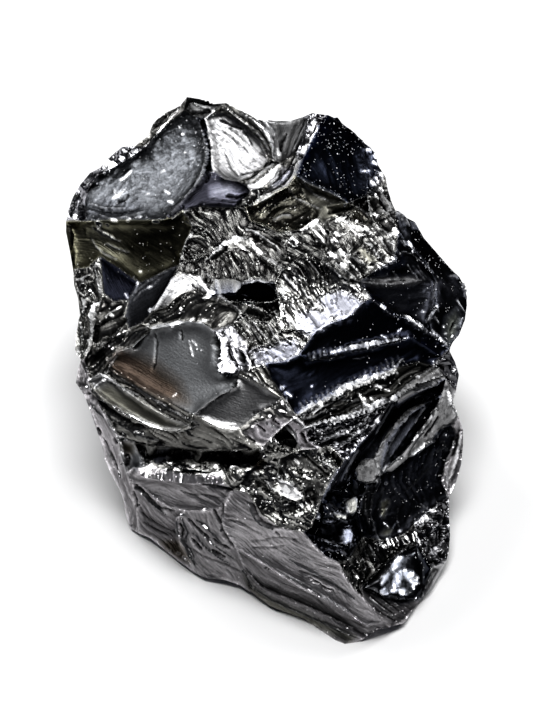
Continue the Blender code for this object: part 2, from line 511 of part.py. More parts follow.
def skin(faces, net, spacing, inward):
    """Triangles over the faces, as pixels, heights and grain. Both skins cut their borders to the same
    length, so that they share the points of the rim."""
    rim = rim_polygon(net)
    borders, edges = spaced_borders(faces, net, SEEN_SPACING_PX)
    low, high = rim.min(0), rim.max(0)
    rows = np.arange(low[1], high[1], spacing * math.sqrt(3) / 2)
    grid = np.array([
        (x + (spacing / 2 if i % 2 else 0), y)
        for i, y in enumerate(rows)
        for x in np.arange(low[0], high[0], spacing)
    ])
    grid = grid[inside(rim, grid)]
    clear = np.ones(len(grid), bool)
    for start, end in edges:
        a, b = borders[start], borders[end]
        box = (grid > np.minimum(a, b) - spacing).all(1) & (grid < np.maximum(a, b) + spacing).all(1)
        run = b - a
        along = np.clip(((grid[box] - a) @ run) / (run @ run), 0, 1)
        gap = np.linalg.norm(grid[box] - (a + along[:, None] * run), axis=1)
        clear[np.nonzero(box)[0][gap < spacing * EDGE_CLEARANCE]] = False
    points = np.concatenate([borders, grid[clear]])
    made = geometry.delaunay_2d_cdt([Vector(p) for p in points], edges, [], 1, 1e-6)
    pixels = np.array([tuple(v) for v in made[0]])
    heights, grain = face_heights(faces, net, pixels, inward)
    return pixels, heights, grain, [tuple(f) for f in made[2]]


def rim_polygon(net):
    """The outline as a closed polygon of pixels."""
    return np.array([net[f"rim{i}"][:2] for i in range(len(RIM))])


def grained(points, grain):
    """Lumps of the broken surface, up and down from each point by its grain."""
    lumps = np.array([
        noise.noise(Vector(p) / GRAIN_SIZE) + 0.5 * noise.noise(Vector(p) / GRAIN_SIZE * 2.3)
        for p in points
    ])
    return lumps * grain


def swells(pixels, points, net):
    """Broad unevenness of the unseen side, fading out at the rim and at the resting face."""
    from_rim = edge_distances(rim_polygon(net), pixels).min(1) * PIXEL
    fade = np.clip(np.minimum(from_rim, points[:, 2]) / SWELL_FADE, 0, 1)
    return np.array([noise.noise(Vector(p) / SWELL_LENGTH) for p in points]) * SWELL_HEIGHT * fade


def pixel_key(pixel):
    """A pixel rounded, so that the same rim point of both skins is found again."""
    return round(pixel[0], 3), round(pixel[1], 3)


def stone_mesh():
    """The closed skin of the stone, in metres, standing on Z = 0 and centred over the origin."""
    net = net_points()
    pixels, heights, grain, triangles = skin(SEEN_FACES, net, SEEN_SPACING_PX, -1)
    heights = heights + grained(places(pixels, heights), grain)
    verts = [tuple(p) for p in places(pixels, heights)]
    faces = [t[::-1] for t in triangles]
    known = {pixel_key(p): i for i, p in enumerate(pixels)}

    pixels, heights, grain, triangles = skin(UNSEEN_FACES, net, UNSEEN_SPACING_PX, 1)
    spots = places(pixels, heights)
    heights = np.maximum(heights + grained(spots, grain) + swells(pixels, spots, net), 0.0)
    on_rim = edge_distances(rim_polygon(net), pixels).min(1) < BORDER_REACH_PX
    index = []
    for pixel, place, shared in zip(pixels, places(pixels, heights), on_rim):
        if shared:
            index.append(known[pixel_key(pixel)])
        else:
            index.append(len(verts))
            verts.append(tuple(place))
    faces += [tuple(index[i] for i in t) for t in triangles]

    verts = np.array(verts)
    low, high = verts.min(0), verts.max(0)
    centre = np.array([(low[0] + high[0]) / 2, (low[1] + high[1]) / 2, low[2]])
    mesh = bpy.data.meshes.new("stone")
    mesh.from_pydata([tuple(p) for p in (verts - centre) * MM], [], faces)
    return mesh


def shungite_material():
    """Glassy carbon with a dark metallic lustre."""
    material = bpy.data.materials.new("silvery shungite")
    material.use_nodes = True
    shader = material.node_tree.nodes["Principled BSDF"]
    shader.inputs["Base Color"].default_value = (0.17, 0.17, 0.18, 1)
    shader.inputs["Metallic"].default_value = 1.0
    shader.inputs["Roughness"].default_value = 0.15
    return material


def build():
    """Clears the scene and makes the one stone."""
    for old in list(bpy.data.objects):
        bpy.data.objects.remove(old)
    mesh = stone_mesh()
    mesh.materials.append(shungite_material())
    stone = bpy.data.objects.new("stone", mesh)
    bpy.context.scene.collection.objects.link(stone)


build()
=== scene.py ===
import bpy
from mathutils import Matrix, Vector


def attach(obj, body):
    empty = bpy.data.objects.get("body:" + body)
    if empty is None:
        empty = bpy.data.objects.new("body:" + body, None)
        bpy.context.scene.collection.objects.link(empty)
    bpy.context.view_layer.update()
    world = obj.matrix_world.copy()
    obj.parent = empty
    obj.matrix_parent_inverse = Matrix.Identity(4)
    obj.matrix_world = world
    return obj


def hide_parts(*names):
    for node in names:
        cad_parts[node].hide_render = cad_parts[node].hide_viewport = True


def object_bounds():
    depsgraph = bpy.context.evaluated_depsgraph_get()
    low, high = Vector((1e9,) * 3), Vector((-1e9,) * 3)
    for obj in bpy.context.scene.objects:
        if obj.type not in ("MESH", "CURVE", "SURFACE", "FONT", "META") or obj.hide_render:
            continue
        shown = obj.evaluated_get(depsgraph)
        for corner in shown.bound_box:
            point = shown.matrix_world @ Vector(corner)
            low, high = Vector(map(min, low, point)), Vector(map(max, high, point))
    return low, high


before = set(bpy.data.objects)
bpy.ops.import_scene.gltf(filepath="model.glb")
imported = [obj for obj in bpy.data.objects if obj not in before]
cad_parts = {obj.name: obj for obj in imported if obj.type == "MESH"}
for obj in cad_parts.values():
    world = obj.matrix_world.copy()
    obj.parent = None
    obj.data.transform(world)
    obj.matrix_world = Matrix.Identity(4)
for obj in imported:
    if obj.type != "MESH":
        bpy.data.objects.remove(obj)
cadBox = [list(map(float, corner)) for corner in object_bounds()]

import math
import re

import bpy
import numpy as np
from mathutils import geometry, Matrix, noise, Vector

# Raw shungite: one glassy, silvery black chunk. The fine skin is filled from the same net of fracture
# faces as the part, then each face gets the break it shows: mirror, satin, hackly, granular or layered.

# What the camera and the net share: the picture's size, one pixel in millimetres, and the view
pictureSize = (533, 720)
pixel = 50.0 / 401.0
viewElevation = 50.0
viewDistance = 700.0
aimed = np.array([0.101, 14.605, 0.0])
mm = 0.001


def pointsOf(words):
    # "12,34 56,78" as a list of tuples of numbers
    return [tuple(map(float, word.split(","))) for word in words.split()]


def chainsOf(rows):
    # each chain's name, and its points
    return {name: pointsOf(words) for name, words in re.findall(r"([a-z]+):([^a-z]*)", rows)}


# Outline of the stone in the photograph, clockwise from the crown: pixel across, pixel down, height in mm
rimPoints = pointsOf("""
187,97,33 200,99,33 213,104,32.5 226,103,33 240,110,33 258,119,33 276,121,32.5 290,121,32.5 303,117,33
312,113,34 319,114,34 328,115,33 337,119,32 350,129,30.5 362,139,29 375,153,27.5 378,165,27 386,178,26.5
388,190,26 392,203,25.5 396,212,26 405,217,25.5 415,222,24.5 424,238,23.5 437,253,22.5 450,268,21.5
460,278,21 466,290,20.5 467,305,20 465,320,19.5 459,335,19 453,342,19 449,350,20 455,362,17 459,375,15.5
456,390,14.5 453,402,14 459,418,12 463,430,10.5 463,445,9 461,465,7 456,482,5.5 449,497,5 449,515,4
450,535,3 449,550,2 446,562,1.5 437,578,1 430,590,1 420,600,0.8 410,614,0.8 404,623,0.8 390,627,1.2
377,630,1.5 366,638,0.5 358,642,0 345,644,0 335,640,0 320,630,0 305,620,0 290,614,0.3 275,609,0.5
262,601,0.5 250,592,0.6 240,585,0.8 225,580,1 205,578,0.6 195,573,0.5 180,562,0.5 165,550,0.5 150,538,0.8
138,533,0.5 130,528,0.3 126,515,1.5 122,495,4 116,483,5.5 110,472,7 105,460,8.5 102,445,10 96,428,12
90,410,14 84,395,15.5 76,383,16.5 78,370,17.5 81,360,18 75,350,18 76,335,18.5 80,315,19.5 78,298,20
74,285,20.5 73,270,21 70,252,22 66,232,22.6 66,222,22.2 69,208,22.4 73,197,22.9 80,185,23.6 90,173,24.3
100,168,25 112,155,26.4 122,147,27.2 135,146,27.8 148,136,28.6 153,124,28.6 165,113,30.2 180,106,32
""")

# Ridges and corners seen inside the outline, in the same units; a point is called by its ridge and number
ridgePoints = chainsOf("""
disc: 184,110,32.6 197,118,32.2 204,131,31.8 207,146,31.4 207,159,31 204,173,30.6 197,186,30.2
    188,197,29.8 176,208,29.5 164,220,29.2 146,221,28.3 125,221,27.2 104,221,26.2 86,222,25 84,207,25.2
    87,190,25.6 96,177,26.2 112,168,27 130,158,28 148,145,29.2 160,131,30.3 172,119,31.5
arc: 222,106,33 232,113,33.1 244,122,33.1 256,131,33 264,142,32.8 269,153,32.6 273,161,32.4
scoop: 205,119,31.9 213,113,32.2 225,112,32.4 236,118,32.4 248,128,32.3 259,138,32.2 265,149,32.1
    269,160,32 262,169,31.8 250,177,31.6 238,182,31.4 225,180,31.3 214,173,31.2 210,160,31.3 210,145,31.6
    208,130,31.8
star: 281,163,32.3 266,132,33.2 273,147,32.9 309,120,33.8 303,138,33.6 295,155,33.2
sliver: 268,174,32 255,184,31.6 247,187,31.4 274,179,32.7 262,188,32.1 250,191,31.6
strip: 320,124,33.9 313,139,34 306,154,34.1 300,167,34.2 297,176,34.2 288,187,34 272,195,33.4
    257,204,32.8 246,207,32.3
roll: 235,208,31.2 218,208,30.6 200,207,30.2 184,211,29.8 172,218,29.4
wall: 193,226,28.8 187,240,27.8 183,252,27 179,265,26.2 165,272,25.4 150,279,24.6 138,284,24
    118,268,24.2 100,257,23.6 88,268,22.5
blue: 128,301,23.2 113,302,22.6 103,294,22.3 101,275,22.8 100,305,21.8 94,325,20.9 92,345,20
    84,360,18.9
blade: 124,316,22.6 128,330,22.3 142,324,23.8 154,311,25 166,292,26 174,279,26.4 165,308,26
    180,294,26.9 195,290,27.5 210,297,27.8 183,272,26.8 200,280,27.6 215,288,28.2 228,302,28.2
    243,312,28.4 232,325,27.6 220,330,27
notch: 108,362,19.4 100,374,18.4 88,381,17.6 87,368,18 112,338,21 97,352,19.5
leaf: 118,352,20.4 132,348,21.4 143,337,22.6 153,329,23.6 170,326,24.6 188,322,25.5 203,324,26.1
    213,331,26.4 217,343,26.2 216,362,25.8 222,373,25.5 238,374,25.8 236,387,25.2 222,394,24.6
    207,404,23.6 194,415,22.6
groove: 185,412,22 165,400,21 145,388,20.2 125,374,19.6 190,426,21.3 168,418,19.9 148,407,19.1
    128,393,18.5 112,380,18.3
lip: 180,430,20.2 165,430,19 150,426,18.3 135,418,17.8 120,409,17.5 106,400,17.3 94,389,17.2
lobe: 252,380,26 268,389,26.3 282,398,26 276,405,25.4 262,411,24.6 247,424,23.2 238,430,22.6
    222,429,22.2 207,421,22.1 250,368,27 252,350,27.8 272,378,27 281,390,26.6 287,402,25.9
dome: 252,222,31.8 246,232,31.6 225,243,30.2 205,256,28.4 243,241,31.2 262,257,31.4 281,272,31.4
    276,284,30.6 258,280,30.2 240,285,29.4
hollow: 280,298,30.2 270,303,29 255,303,28.4 240,302,28.4 279,315,29.8 268,322,28.8 252,322,28.4
    282,330,29.4 268,343,28.6
band: 300,255,32.8 322,262,32.2 345,276,30.8 360,282,29.6 372,298,28.2 357,307,28.8 347,318,28.8
    330,324,29 318,329,29 308,342,28.5 300,355,27.8 285,362,27.5 266,364,27.2 330,232,32.4 352,250,30.9
khaki: 310,185,33.4 330,193,32 349,203,30.8 325,207,31.8 319,217,32.4 302,230,32.6 280,234,32.2
shoulder: 366,148,28.2 364,165,28.6 368,180,28.6 367,196,29 384,216,27.6 371,214,28.8 366,226,29.6
    345,222,31
lens: 398,228,26.6 398,243,27.2 394,260,27.6 380,268,28.4 408,245,26.4 425,262,24.4 436,282,22.8
    436,303,22.4 429,320,22.4 432,334,21.6 416,326,23.4 400,317,25 385,308,26.6 441,343,20.6
slab: 306,360,27.6 325,356,27.2 350,350,26.4 380,344,25 398,340,24.2 412,337,23.4 441,357,20
    432,366,20.4
step: 296,417,24.8 320,403,25.2 350,388,24.6 378,376,23.7 398,368,22.9 418,362,21.6
crush: 306,428,24.2 330,421,24.1 355,413,23.5 378,403,22.8 396,396,22 420,381,21 440,368,19.8
    384,413,21.4 374,430,20.8 358,446,20.2 344,462,19.6 330,446,21.6 318,449,22 306,440,22.9
plate: 284,426,23.8 272,438,22.4 262,448,21 250,443,21 240,436,21.6 300,450,21.2 292,436,22.6
    280,458,20.2 266,455,20.2
under: 92,396,16.2 104,414,14.8 118,436,13.4 135,443,13.8 152,447,14.6 175,448,15.8 200,451,17
    225,451,18.4 248,451,19.8 121,455,12 127,474,10.4 132,484,9.4 136,505,5.2
pit: 250,470,17.6 236,474,16.4 225,480,15.2 200,480,14.2 178,478,13.4 160,475,12.6 147,472,11.9
    134,468,11.2
front: 232,489,14.4 223,508,12 205,512,10.8 185,511,9.8 168,508,9.2 153,499,9.2 141,486,9.6
    176,520,8.4 180,545,4.4 188,560,2.2 222,525,10.2 236,548,7.2 244,568,4.4 250,582,2
brow: 248,492,14.8 262,515,13.4 280,527,12.6 304,532,12.4 313,543,11.4 326,556,10.4 339,562,10
    346,575,8.6 354,588,7.2 364,597,6.4 372,608,5.2 384,622,2.6
keel: 366,626,2.4 345,612,4.2 325,600,5.2 300,588,5.8 275,572,6.6 352,630,1.6 330,618,2.3 305,606,2.7
    280,596,2.8 262,588,2.6
rubble: 278,480,17.6 334,478,18.4 324,495,17 303,498,16.4 290,484,17.7 296,501,15.8 280,494,16.2
    318,512,15.2 312,528,13.8
ribbon: 446,379,18.2 428,388,18.2 410,397,18.8 398,404,19.6 442,396,16.4 425,404,16.2 410,410,16.2
    396,422,16.2 387,436,16.2 380,452,16 376,462,15.8 362,462,15.4 356,472,15 345,490,14.8 381,462,16
    386,445,16.9 395,430,17.3 408,416,17.2 420,408,16.7
tongue: 358,480,13.8 368,484,13.2 378,482,13.4 381,472,14.8 390,465,14.4 402,455,14.4 412,443,14.6
    420,430,15 432,415,15.2 392,472,13 404,462,12.9 415,452,12.7 430,443,12.2 440,430,12 452,424,11.7
cheek: 457,432,10.4 453,447,8.8 446,465,7.4 443,482,6.2 440,505,5.8 428,512,6.6 415,524,6.8
    405,535,6.6 390,540,7 375,540,7.8 362,538,8.8 358,515,10.6 362,495,12.2 350,560,9
knob: 418,545,5.2 402,552,5.6 388,562,5.8 375,575,6.2 362,588,6.6 432,568,2.8 424,556,4.4 424,590,1.8
    415,600,1.6 395,600,2.8 378,596,4.4
""")

# Hidden points: the flat resting face and the middle of the unseen sides, as X, Y, Z in mm
hiddenPoints = chainsOf("""
base: -1,-33,0 -8.5,-29,0 -14.5,-23.5,0 -17.6,-14,0 -15.2,-4,0 -9,4,0 3,7.5,0 12,3,0 18.4,-8,0
    20.2,-23,0 19,-33,0 14.6,-39.4,0
side: -21.2,-14,8 -21.8,-4,13 -20,6,11 -11,11.5,17.5 1,13.5,12 12.5,10,18 19,1,10 21.8,-9,12.5
    22.4,-20,6.5
heel: -17.5,9.5,20.5 -8,14.5,22 2,15.2,26 9,12.8,21 16.5,5,20
""")

# Fracture faces seen in the photograph: border points in order, how deep the face is hollowed in mm (minus
# swells it), how it broke, the way its grain runs in the picture (degrees down from the right), and what
# differs from its kind
seenFaces = {
    "granular disc": ("disc0-disc21", 1.3, "grainy", 150, dict(tone=0.155, grit=1.1, tint="#e6ebf4")),
    "left rim": ("rim93-rim98 disc16-disc13", 0.1, "crushed", 120, dict(tone=0.25)),
    "left brow": ("rim98-rim101 disc19-disc16", 0.15, "crushed", 140, dict(tone=0.25)),
    "crown ledge": ("disc0 disc21-disc19 rim101-rim105 rim0", 0.3, "layered", 140, dict(tone=0.25)),
    "crown wedge": ("rim0-rim3 arc0 scoop1 scoop0 disc1 disc0", 0.5,
     "satin", 10, dict(tone=0.1, lines=0.6)),
    "disc crack": ("disc1-disc5 scoop12-scoop15 scoop0", 0.55, "black", 80, {}),
    # the bright scoop: partly a real reflection of the overhead lamp, partly painted reflection in its raised
    # tone and turned facets
    "bright scoop": ("scoop0-scoop15", 1.0,
     "satin", 40, dict(tone=0.4, shine=0.4, rough=0.36, lines=1.3, grit=0.8, glint=0.3, swell=(0.02, 40, 7))),
    "arc band": ("scoop1-scoop7 arc6-arc0", 0.25, "layered", 60, dict(tone=0.14)),
    "outer arc": ("arc0 rim3-rim5 star1 star2 arc6-arc1", -0.15, "layered", 60, dict(tone=0.12)),
    "star left": ("rim5 rim6 star0 arc6 star2 star1", 0.25,
     "satin", 70, dict(tone=0.24, lines=0.6, grit=0.5)),
    "star right": ("rim6-rim8 star3-star5 star0", 0.4, "satin", 120, dict(tone=0.06, lines=0.8, grit=0.5)),
    "silver strip": ("rim8-rim11 strip0-strip3 star5-star3", -0.15, "crushed", 115, dict(tone=0.11)),
    "star foot": ("scoop7 arc6 star0 sliver0-sliver2 scoop10-scoop8", 0.25,
     "layered", 150, dict(tone=0.06)),
    # the white sliver: its near-white tone is a painted reflection of a lamp, on top of the real one
    "white sliver": ("star0 sliver3-sliver5 sliver2-sliver0", 0.1, "satin", 150, dict(tone=0.95)),
    "star plates": ("star0 star5 strip3-strip6 sliver4 sliver3", 0.2, "layered", 130, dict(tone=0.09)),
    "pale patch": ("sliver4 strip6-strip8 roll0 sliver5", 0.15, "hackly", 150, dict(tone=0.2)),
    "violet roll": ("disc5 scoop12-scoop10 sliver2 sliver5 roll0-roll4 disc9-disc6", -0.5,
     "satin", 160, dict(tone=0.017, lines=1.0, rough=0.36, grit=0.6, tint="#e0e0ff")),
    "olive wall": ("rim92 rim93 disc13-disc9 roll4 roll3 wall0-wall9 rim90 rim91", 1.1,
     "black", 30, dict(tone=0.2, glint=0.3, rough=0.34, tint="#dedab8", lines=0.6, grit=0.5)),
    "blue face": ("wall8-wall6 blue0-blue3", 0.4,
     "satin", 60, dict(tone=0.016, rough=0.4, lines=1.2, grit=0.8, tint="#c8d0ff")),
    "speckled column": ("rim90 wall9 wall8 blue3 blue2 blue4-blue7 rim84-rim89", 0.2,
     "hackly", 75, dict(tone=0.1, chip=(0.12, 9, 4), fibre=(0.16, 22, 3.5), glint=1.0)),
    "long blade": ("wall3-wall6 blue0 blade0-blade5", 0.35,
     "satin", 150, dict(tone=0.02, lines=0.9, grit=0.6, tint="#dfe4f4")),
    # the white gable: partly a real reflection of a lamp, partly painted reflection in its raised tone
    "white gable": ("blade5 blade10-blade12 blade9-blade6 blade3 blade4", 0.15,
     "satin", 30, dict(tone=0.55, lines=1.4, grit=0.6)),
    "dark brow": ("blade2 blade3 blade6-blade9 blade13-blade16 leaf7-leaf3", 0.4,
     "layered", 150, dict(tone=0.12)),
    "upper slats": ("blue4 blue2-blue0 blade0 blade1 notch4 notch5 blue6 blue5", 0.5,
     "layered", 140, dict(tone=0.12)),
    "lower slats": ("notch4 blade1 blade2 leaf3-leaf0 notch0-notch3 blue7 blue6 notch5", 0.6,
     "layered", 140, dict(tone=0.2)),
    "leaf face": ("leaf0-leaf15 groove0-groove3 notch0", 0.9,
     "satin", 30, dict(tone=0.215, rough=0.5, lines=0.3, grit=0.7, tint="#eff2f6")),
    "grooved band": ("notch0 groove3-groove0 leaf15 groove4-groove8 notch1", 0.25,
     "layered", 30, dict(tone=0.1)),
    "lower leaf": ("notch1 groove8-groove4 lip0-lip6 notch2", 0.45,
     "satin", 28, dict(tone=0.32, lines=0.6)),
    "leaf lobe": ("leaf15-leaf11 lobe0-lobe8", 0.5, "satin", 20, dict(tone=0.2, lines=0.4, grit=0.7)),
    "bright drop": ("leaf7 blade16 blade15 lobe10 lobe9 leaf11-leaf8", -0.7,
     "crushed", 70, dict(tone=0.24, shine=0.4, rough=0.3, chip=(0.16, 10, 6))),
    "lobe edge": ("leaf11 lobe9 band12 lobe11-lobe13 lobe2-lobe0", 0.1, "layered", 50, dict(tone=0.16)),
    "upper hackle": ("wall0 roll3-roll0 strip8 dome0 dome1 dome4 dome2 dome3 wall3-wall1", 0.6,
     "hackly", 40, dict(tone=0.09, shine=0.15)),
    "dome face": ("wall3 dome3 dome2 dome4-dome9 blade12-blade10 blade5", 0.5,
     "hackly", 70, dict(tone=0.08, shine=0.15, swell=(0.2, 30, 14))),
    "black hollow": ("blade12 dome9-dome7 hollow0-hollow3 blade13 blade9", 1.5,
     "black", 20, dict(tone=0.02)),
    "lower hollow": ("blade13 hollow3-hollow0 hollow4-hollow6 blade14", 1.3,
     "hackly", 50, dict(tone=0.1, shine=0.2)),
    "drip hackle": ("blade14 hollow6-hollow4 hollow7 hollow8 lobe10 blade15", 0.2,
     "hackly", 58, dict(tone=0.14)),
    "silver hackle": ("dome6 band0-band8 hollow7 hollow4 hollow0 dome7", 0.5,
     "hackly", 56, dict(tone=0.36, shine=0.1)),
    "silver foot": ("hollow7 band8-band12 lobe9 lobe10 hollow8", 0.3, "hackly", 40, dict(tone=0.36)),
    "khaki hollow": ("strip4 khaki0-khaki6 dome0 strip8-strip5", 1.2,
     "hackly", 150, dict(tone=0.19, shine=0.1, fibre=(0.08, 24, 3.5), tint="#eeead6")),
    "crest hackle": ("dome0 khaki6-khaki4 band13 band1 band0 dome6-dome4 dome1", 0.35,
     "hackly", 32, dict(tone=0.05, shine=0.1)),
    "navy face": ("strip0 rim11-rim14 shoulder0-shoulder3 khaki2-khaki0 strip4-strip1", 0.5,
     "black", 60, dict(tone=0.016, rough=0.26, glint=0.9, tint="#b4c4f4")),
    "shoulder hackle": ("rim14-rim20 shoulder4 shoulder5 shoulder3-shoulder0", -0.3,
     "hackly", 50, dict(tone=0.03)),
    "dark pocket": ("khaki3 khaki2 shoulder3 shoulder5-shoulder7", 0.8,
     "rubble", 50, dict(tone=0.03, shine=0.0)),
    "white hackle": ("khaki4 khaki3 shoulder7 shoulder6 band14 band2 band1 band13", 0.3,
     "hackly", 55, dict(tone=0.17)),
    "right hackle": ("shoulder6 shoulder5 shoulder4 rim20 lens0-lens3 band3 band2 band14", 0.3,
     "hackly", 52, dict(tone=0.14)),
    "outer lens": ("rim20-rim32 lens13 lens9-lens4 lens0", -0.3,
     "black", 50, dict(tone=0.006, rough=0.34, glint=0.6)),
    "inner lens": ("lens0-lens3 band3 band4 lens12-lens4", 0.9,
     "black", 0, dict(tone=0.03, rough=0.3, glint=0.3)),
    "upper slab": ("band8-band4 lens12-lens9 lens13 rim32 slab6-slab0 band10 band9", 0.35,
     "black", 150, dict(tone=0.022, rough=0.24, tint="#c0ccf8")),
    "middle slab": ("band10-band12 lobe11-lobe13 step0-step5 slab7 slab6 slab5-slab0", 0.5,
     "black", 150, dict(tone=0.012, rough=0.3, tint="#b8c6f8")),
    "lower slab": ("step0-step5 slab7 crush6-crush0", 0.4,
     "layered", 155, dict(
         tone=0.014, crest=0.022, rough=0.28, chip=(0.04, 18, 6), fibre=(0.10, 40, 5), glint=0.4, lines=0.5)),
    "crushed band": ("crush0-crush4 crush7-crush13", 0.35, "crushed", 155, dict(tone=0.17)),
    "grey step": ("lobe3 lobe2 lobe13 step0 plate0-plate4 lobe6-lobe4", 0.2,
     "layered", 30, dict(tone=0.38)),
    "grey plates": ("step0 crush0 crush13 crush12 plate5 plate6 plate0", 0.2, "satin", 50, dict(tone=0.5)),
    "plate pocket": ("plate0 plate6 plate5 plate7 plate8 plate2 plate1", 0.7, "rubble", 50, {}),
    "layered band": ("notch2 lip6-lip0 groove4 leaf15 lobe8-lobe6 plate4-plate2 under8-under0", 0.4,
     "layered", 25, dict(tone=0.13)),
    "upper flank": ("blue7 notch3 notch2 under0 rim81-rim84", 0.15, "flow", 70, dict(tone=0.24)),
    "lower flank": ("under0-under2 under9-under12 rim71-rim81", 0.3, "flow", 75, dict(tone=0.33)),
    "pit cheek": ("under2 under3 pit6 pit7 under10 under9", 0.4, "satin", 60, dict(tone=0.27)),
    "black pit": ("under3-under8 plate2 plate8 pit0-pit6", 1.9, "rubble", 20, dict(tone=0.05, shine=0.2)),
    "front plate": ("under11 under10 pit7-pit2 front0-front6", 0.2, "flow", 20, dict(tone=0.26)),
    "front left": ("under12 under11 front6-front3 front7-front9 rim67-rim71", 0.35,
     "flow", 50, dict(tone=0.22)),
    "streaked front": ("front3-front1 front10-front13 rim63-rim67 front9-front7", 0.3,
     "flow", 55, dict(tone=0.18)),
    "smooth front": ("front1 front0 brow0-brow11 keel0-keel4 front11 front10", 0.3,
     "flow", 35, dict(tone=0.3)),
    "dark keel": ("front11 keel4-keel0 brow11 rim52-rim54 keel5-keel9 front12", 0.5,
     "flow", 30, dict(tone=0.2)),
    "keel rim": ("front12 keel9-keel5 rim54-rim63 front13", -0.15, "flow", 30, dict(tone=0.12)),
    "rubble ledge": ("pit2-pit0 plate8 plate7 rubble0 brow0 front0", 0.5,
     "rubble", 30, dict(tone=0.18, crest=0.12)),
    "rubble top": ("plate7 plate5 crush12-crush10 rubble1-rubble4 rubble0", 0.5,
     "rubble", 60, dict(tone=0.22, crest=0.14)),
    # the pale plate: its near-white tone is a painted reflection of a lamp, on top of the real one
    "pale plate": ("rubble0 rubble4 rubble3 rubble5 rubble6", 0.1, "satin", 30, dict(tone=0.98)),
    "rubble foot": ("rubble0 rubble6 rubble5 rubble3 rubble2 rubble7 rubble8 brow3-brow0", 0.5,
     "rubble", 30, dict(tone=0.22, crest=0.14)),
    "upper ribbon": ("crush4-crush6 ribbon0-ribbon3", -0.2, "satin", 140, dict(tone=0.22)),
    "long channel": ("crush4 ribbon3-ribbon0 ribbon4-ribbon13 rubble2 rubble1 crush10-crush7", 1.6,
     "black", 110, dict(tone=0.16, rough=0.3, lines=0.6)),
    "middle ribbon": ("ribbon5-ribbon10 ribbon14-ribbon18", -0.25, "satin", 110, dict(tone=0.2)),
    "grey tongue": ("ribbon10-ribbon12 tongue0-tongue3 ribbon14", -0.25, "satin", 90, dict(tone=0.4)),
    "short channel": ("ribbon5 ribbon18-ribbon14 tongue3-tongue8 ribbon4", 1.2,
     "black", 120, dict(tone=0.03)),
    "lower ribbon": ("ribbon0 rim35-rim37 tongue14-tongue9 tongue3-tongue8 ribbon4", -0.25,
     "satin", 120, dict(tone=0.22, lines=0.8, grit=0.6)),
    "corner lump": ("slab6 rim32-rim35 ribbon0 crush6 slab7", -0.5, "crushed", 60, dict(tone=0.05)),
    "dark cheek": ("tongue3 tongue9-tongue14 cheek0-cheek3 rim42 cheek4-cheek12 tongue1 tongue2", 0.9,
     "black", 100, dict(tone=0.012, glint=0.5, rough=0.4, chip=(0.12, 14, 5))),
    "right edge": ("tongue14 rim37-rim42 cheek3-cheek0", 0.15, "flow", 100, dict(tone=0.42)),
    "glass shards": ("ribbon12 tongue0 tongue1 cheek12-cheek10 cheek13 brow6-brow3 rubble8 rubble7 rubble2"
                     " ribbon13", 1.0, "black", 60, dict(tone=0.02, glint=0.5, chip=(0.3, 16, 9))),
    "barred band": ("cheek13 cheek10-cheek6 knob0-knob4 brow9-brow6", 0.5, "hackly", 80, dict(tone=0.035)),
    "corner glint": ("cheek6-cheek4 rim42-rim46 knob5 knob6 knob0", 0.3, "crushed", 60, dict(tone=0.08)),
    "glossy knob": ("knob1 knob0 knob6 knob5 knob7-knob10 knob4-knob2", -1.3,
     "mirror", 45, dict(tone=0.05)),
    "low edge": ("knob5 rim46-rim49 knob8 knob7", 0.1, "satin", 60, dict(tone=0.3)),
    "toe streaks": ("brow9 knob4 knob10-knob8 rim49-rim52 brow11 brow10", 0.2, "flow", 30, dict(tone=0.12)),
}

# Unseen fracture faces: border points and hollow
unseenFaces = {
    "resting face": ("rim55-rim59 base0-base11", 0.0),
    "front undercut": ("rim59-rim66 base1 base0", 0.0),
    "left undercut": ("rim66-rim72 base2 base1", 0.0),
    "left foot": ("rim72-rim78 side0 base3 base2", 0.5),
    "left waist": ("rim78-rim85 side1 side0", 0.7),
    "left heel": ("side0 side1 base4 base3", 0.6),
    "left shell": ("rim85-rim91 side2 side1", 0.9),
    "back left foot": ("side1-side3 base5 base4", 0.9),
    "back left brow": ("rim91-rim97 heel0 side2", 0.7),
    "back left wall": ("side2 heel0 side3", 0.5),
    "crown left": ("rim97-rim104 heel1 heel0", 0.9),
    "left rib": ("heel0 heel1 side3", 0.5),
    "crown back": ("rim104-rim105 rim0-rim5 heel2 heel1", 0.6),
    "crown scoop": ("heel1 heel2 side4 side3", 1.4),
    "saddle back": ("rim5-rim11 heel3 heel2", 0.5),
    "saddle scoop": ("heel2 heel3 side5 side4", 1.1),
    "back foot": ("side3 side4 base6 base5", 0.9),
    "back right foot": ("side4 side5 base7 base6", 0.6),
    "navy back": ("rim11-rim20 heel4 heel3", 0.9),
    "right rib": ("heel3 heel4 side5", 0.6),
    "right wedge": ("heel4 side6 side5", 0.4),
    "right heel": ("side5 side6 base8 base7", 0.7),
    "lens back": ("rim20-rim26 side7 side6 heel4", 1.0),
    "lens foot": ("rim26-rim34 side7", 0.7),
    "right foot": ("side6-side8 base9 base8", 0.6),
    "right waist": ("rim34-rim40 side8 side7", 0.5),
    "right toe": ("rim40-rim45 base10 base9 side8", 0.4),
    "toe undercut": ("rim45-rim50 base11 base10", 0.0),
    "tip undercut": ("rim50-rim55 base11", 0.0),
}

# The fine skin: spacing of its points in pixels on the seen and the unseen side, and how far they keep from
# a border as a share of it. swell and ripple: heights in mm of the unseen side's unevenness, their lengths
# in mm and in pixels, and how the ripples fade in pixels. hollowReach: the least reach in pixels over which a
# face is dished. boxMargin: how far in metres the skin stays inside the part's box.
skinValues = {
    "seenSpacing": 1.6, "unseenSpacing": 3.4, "clearance": 0.6, "swell": 1.5, "swellLength": 9.0,
    "swellFade": 5.0, "ripple": 0.06, "rippleLength": 13.0, "rippleBend": 25.0, "rippleReach": 60.0,
    "rippledEvery": 3, "hollowReach": 2.5, "fieldStep": 500.0, "onLine": 1e-3, "boxMargin": 1e-6,
}

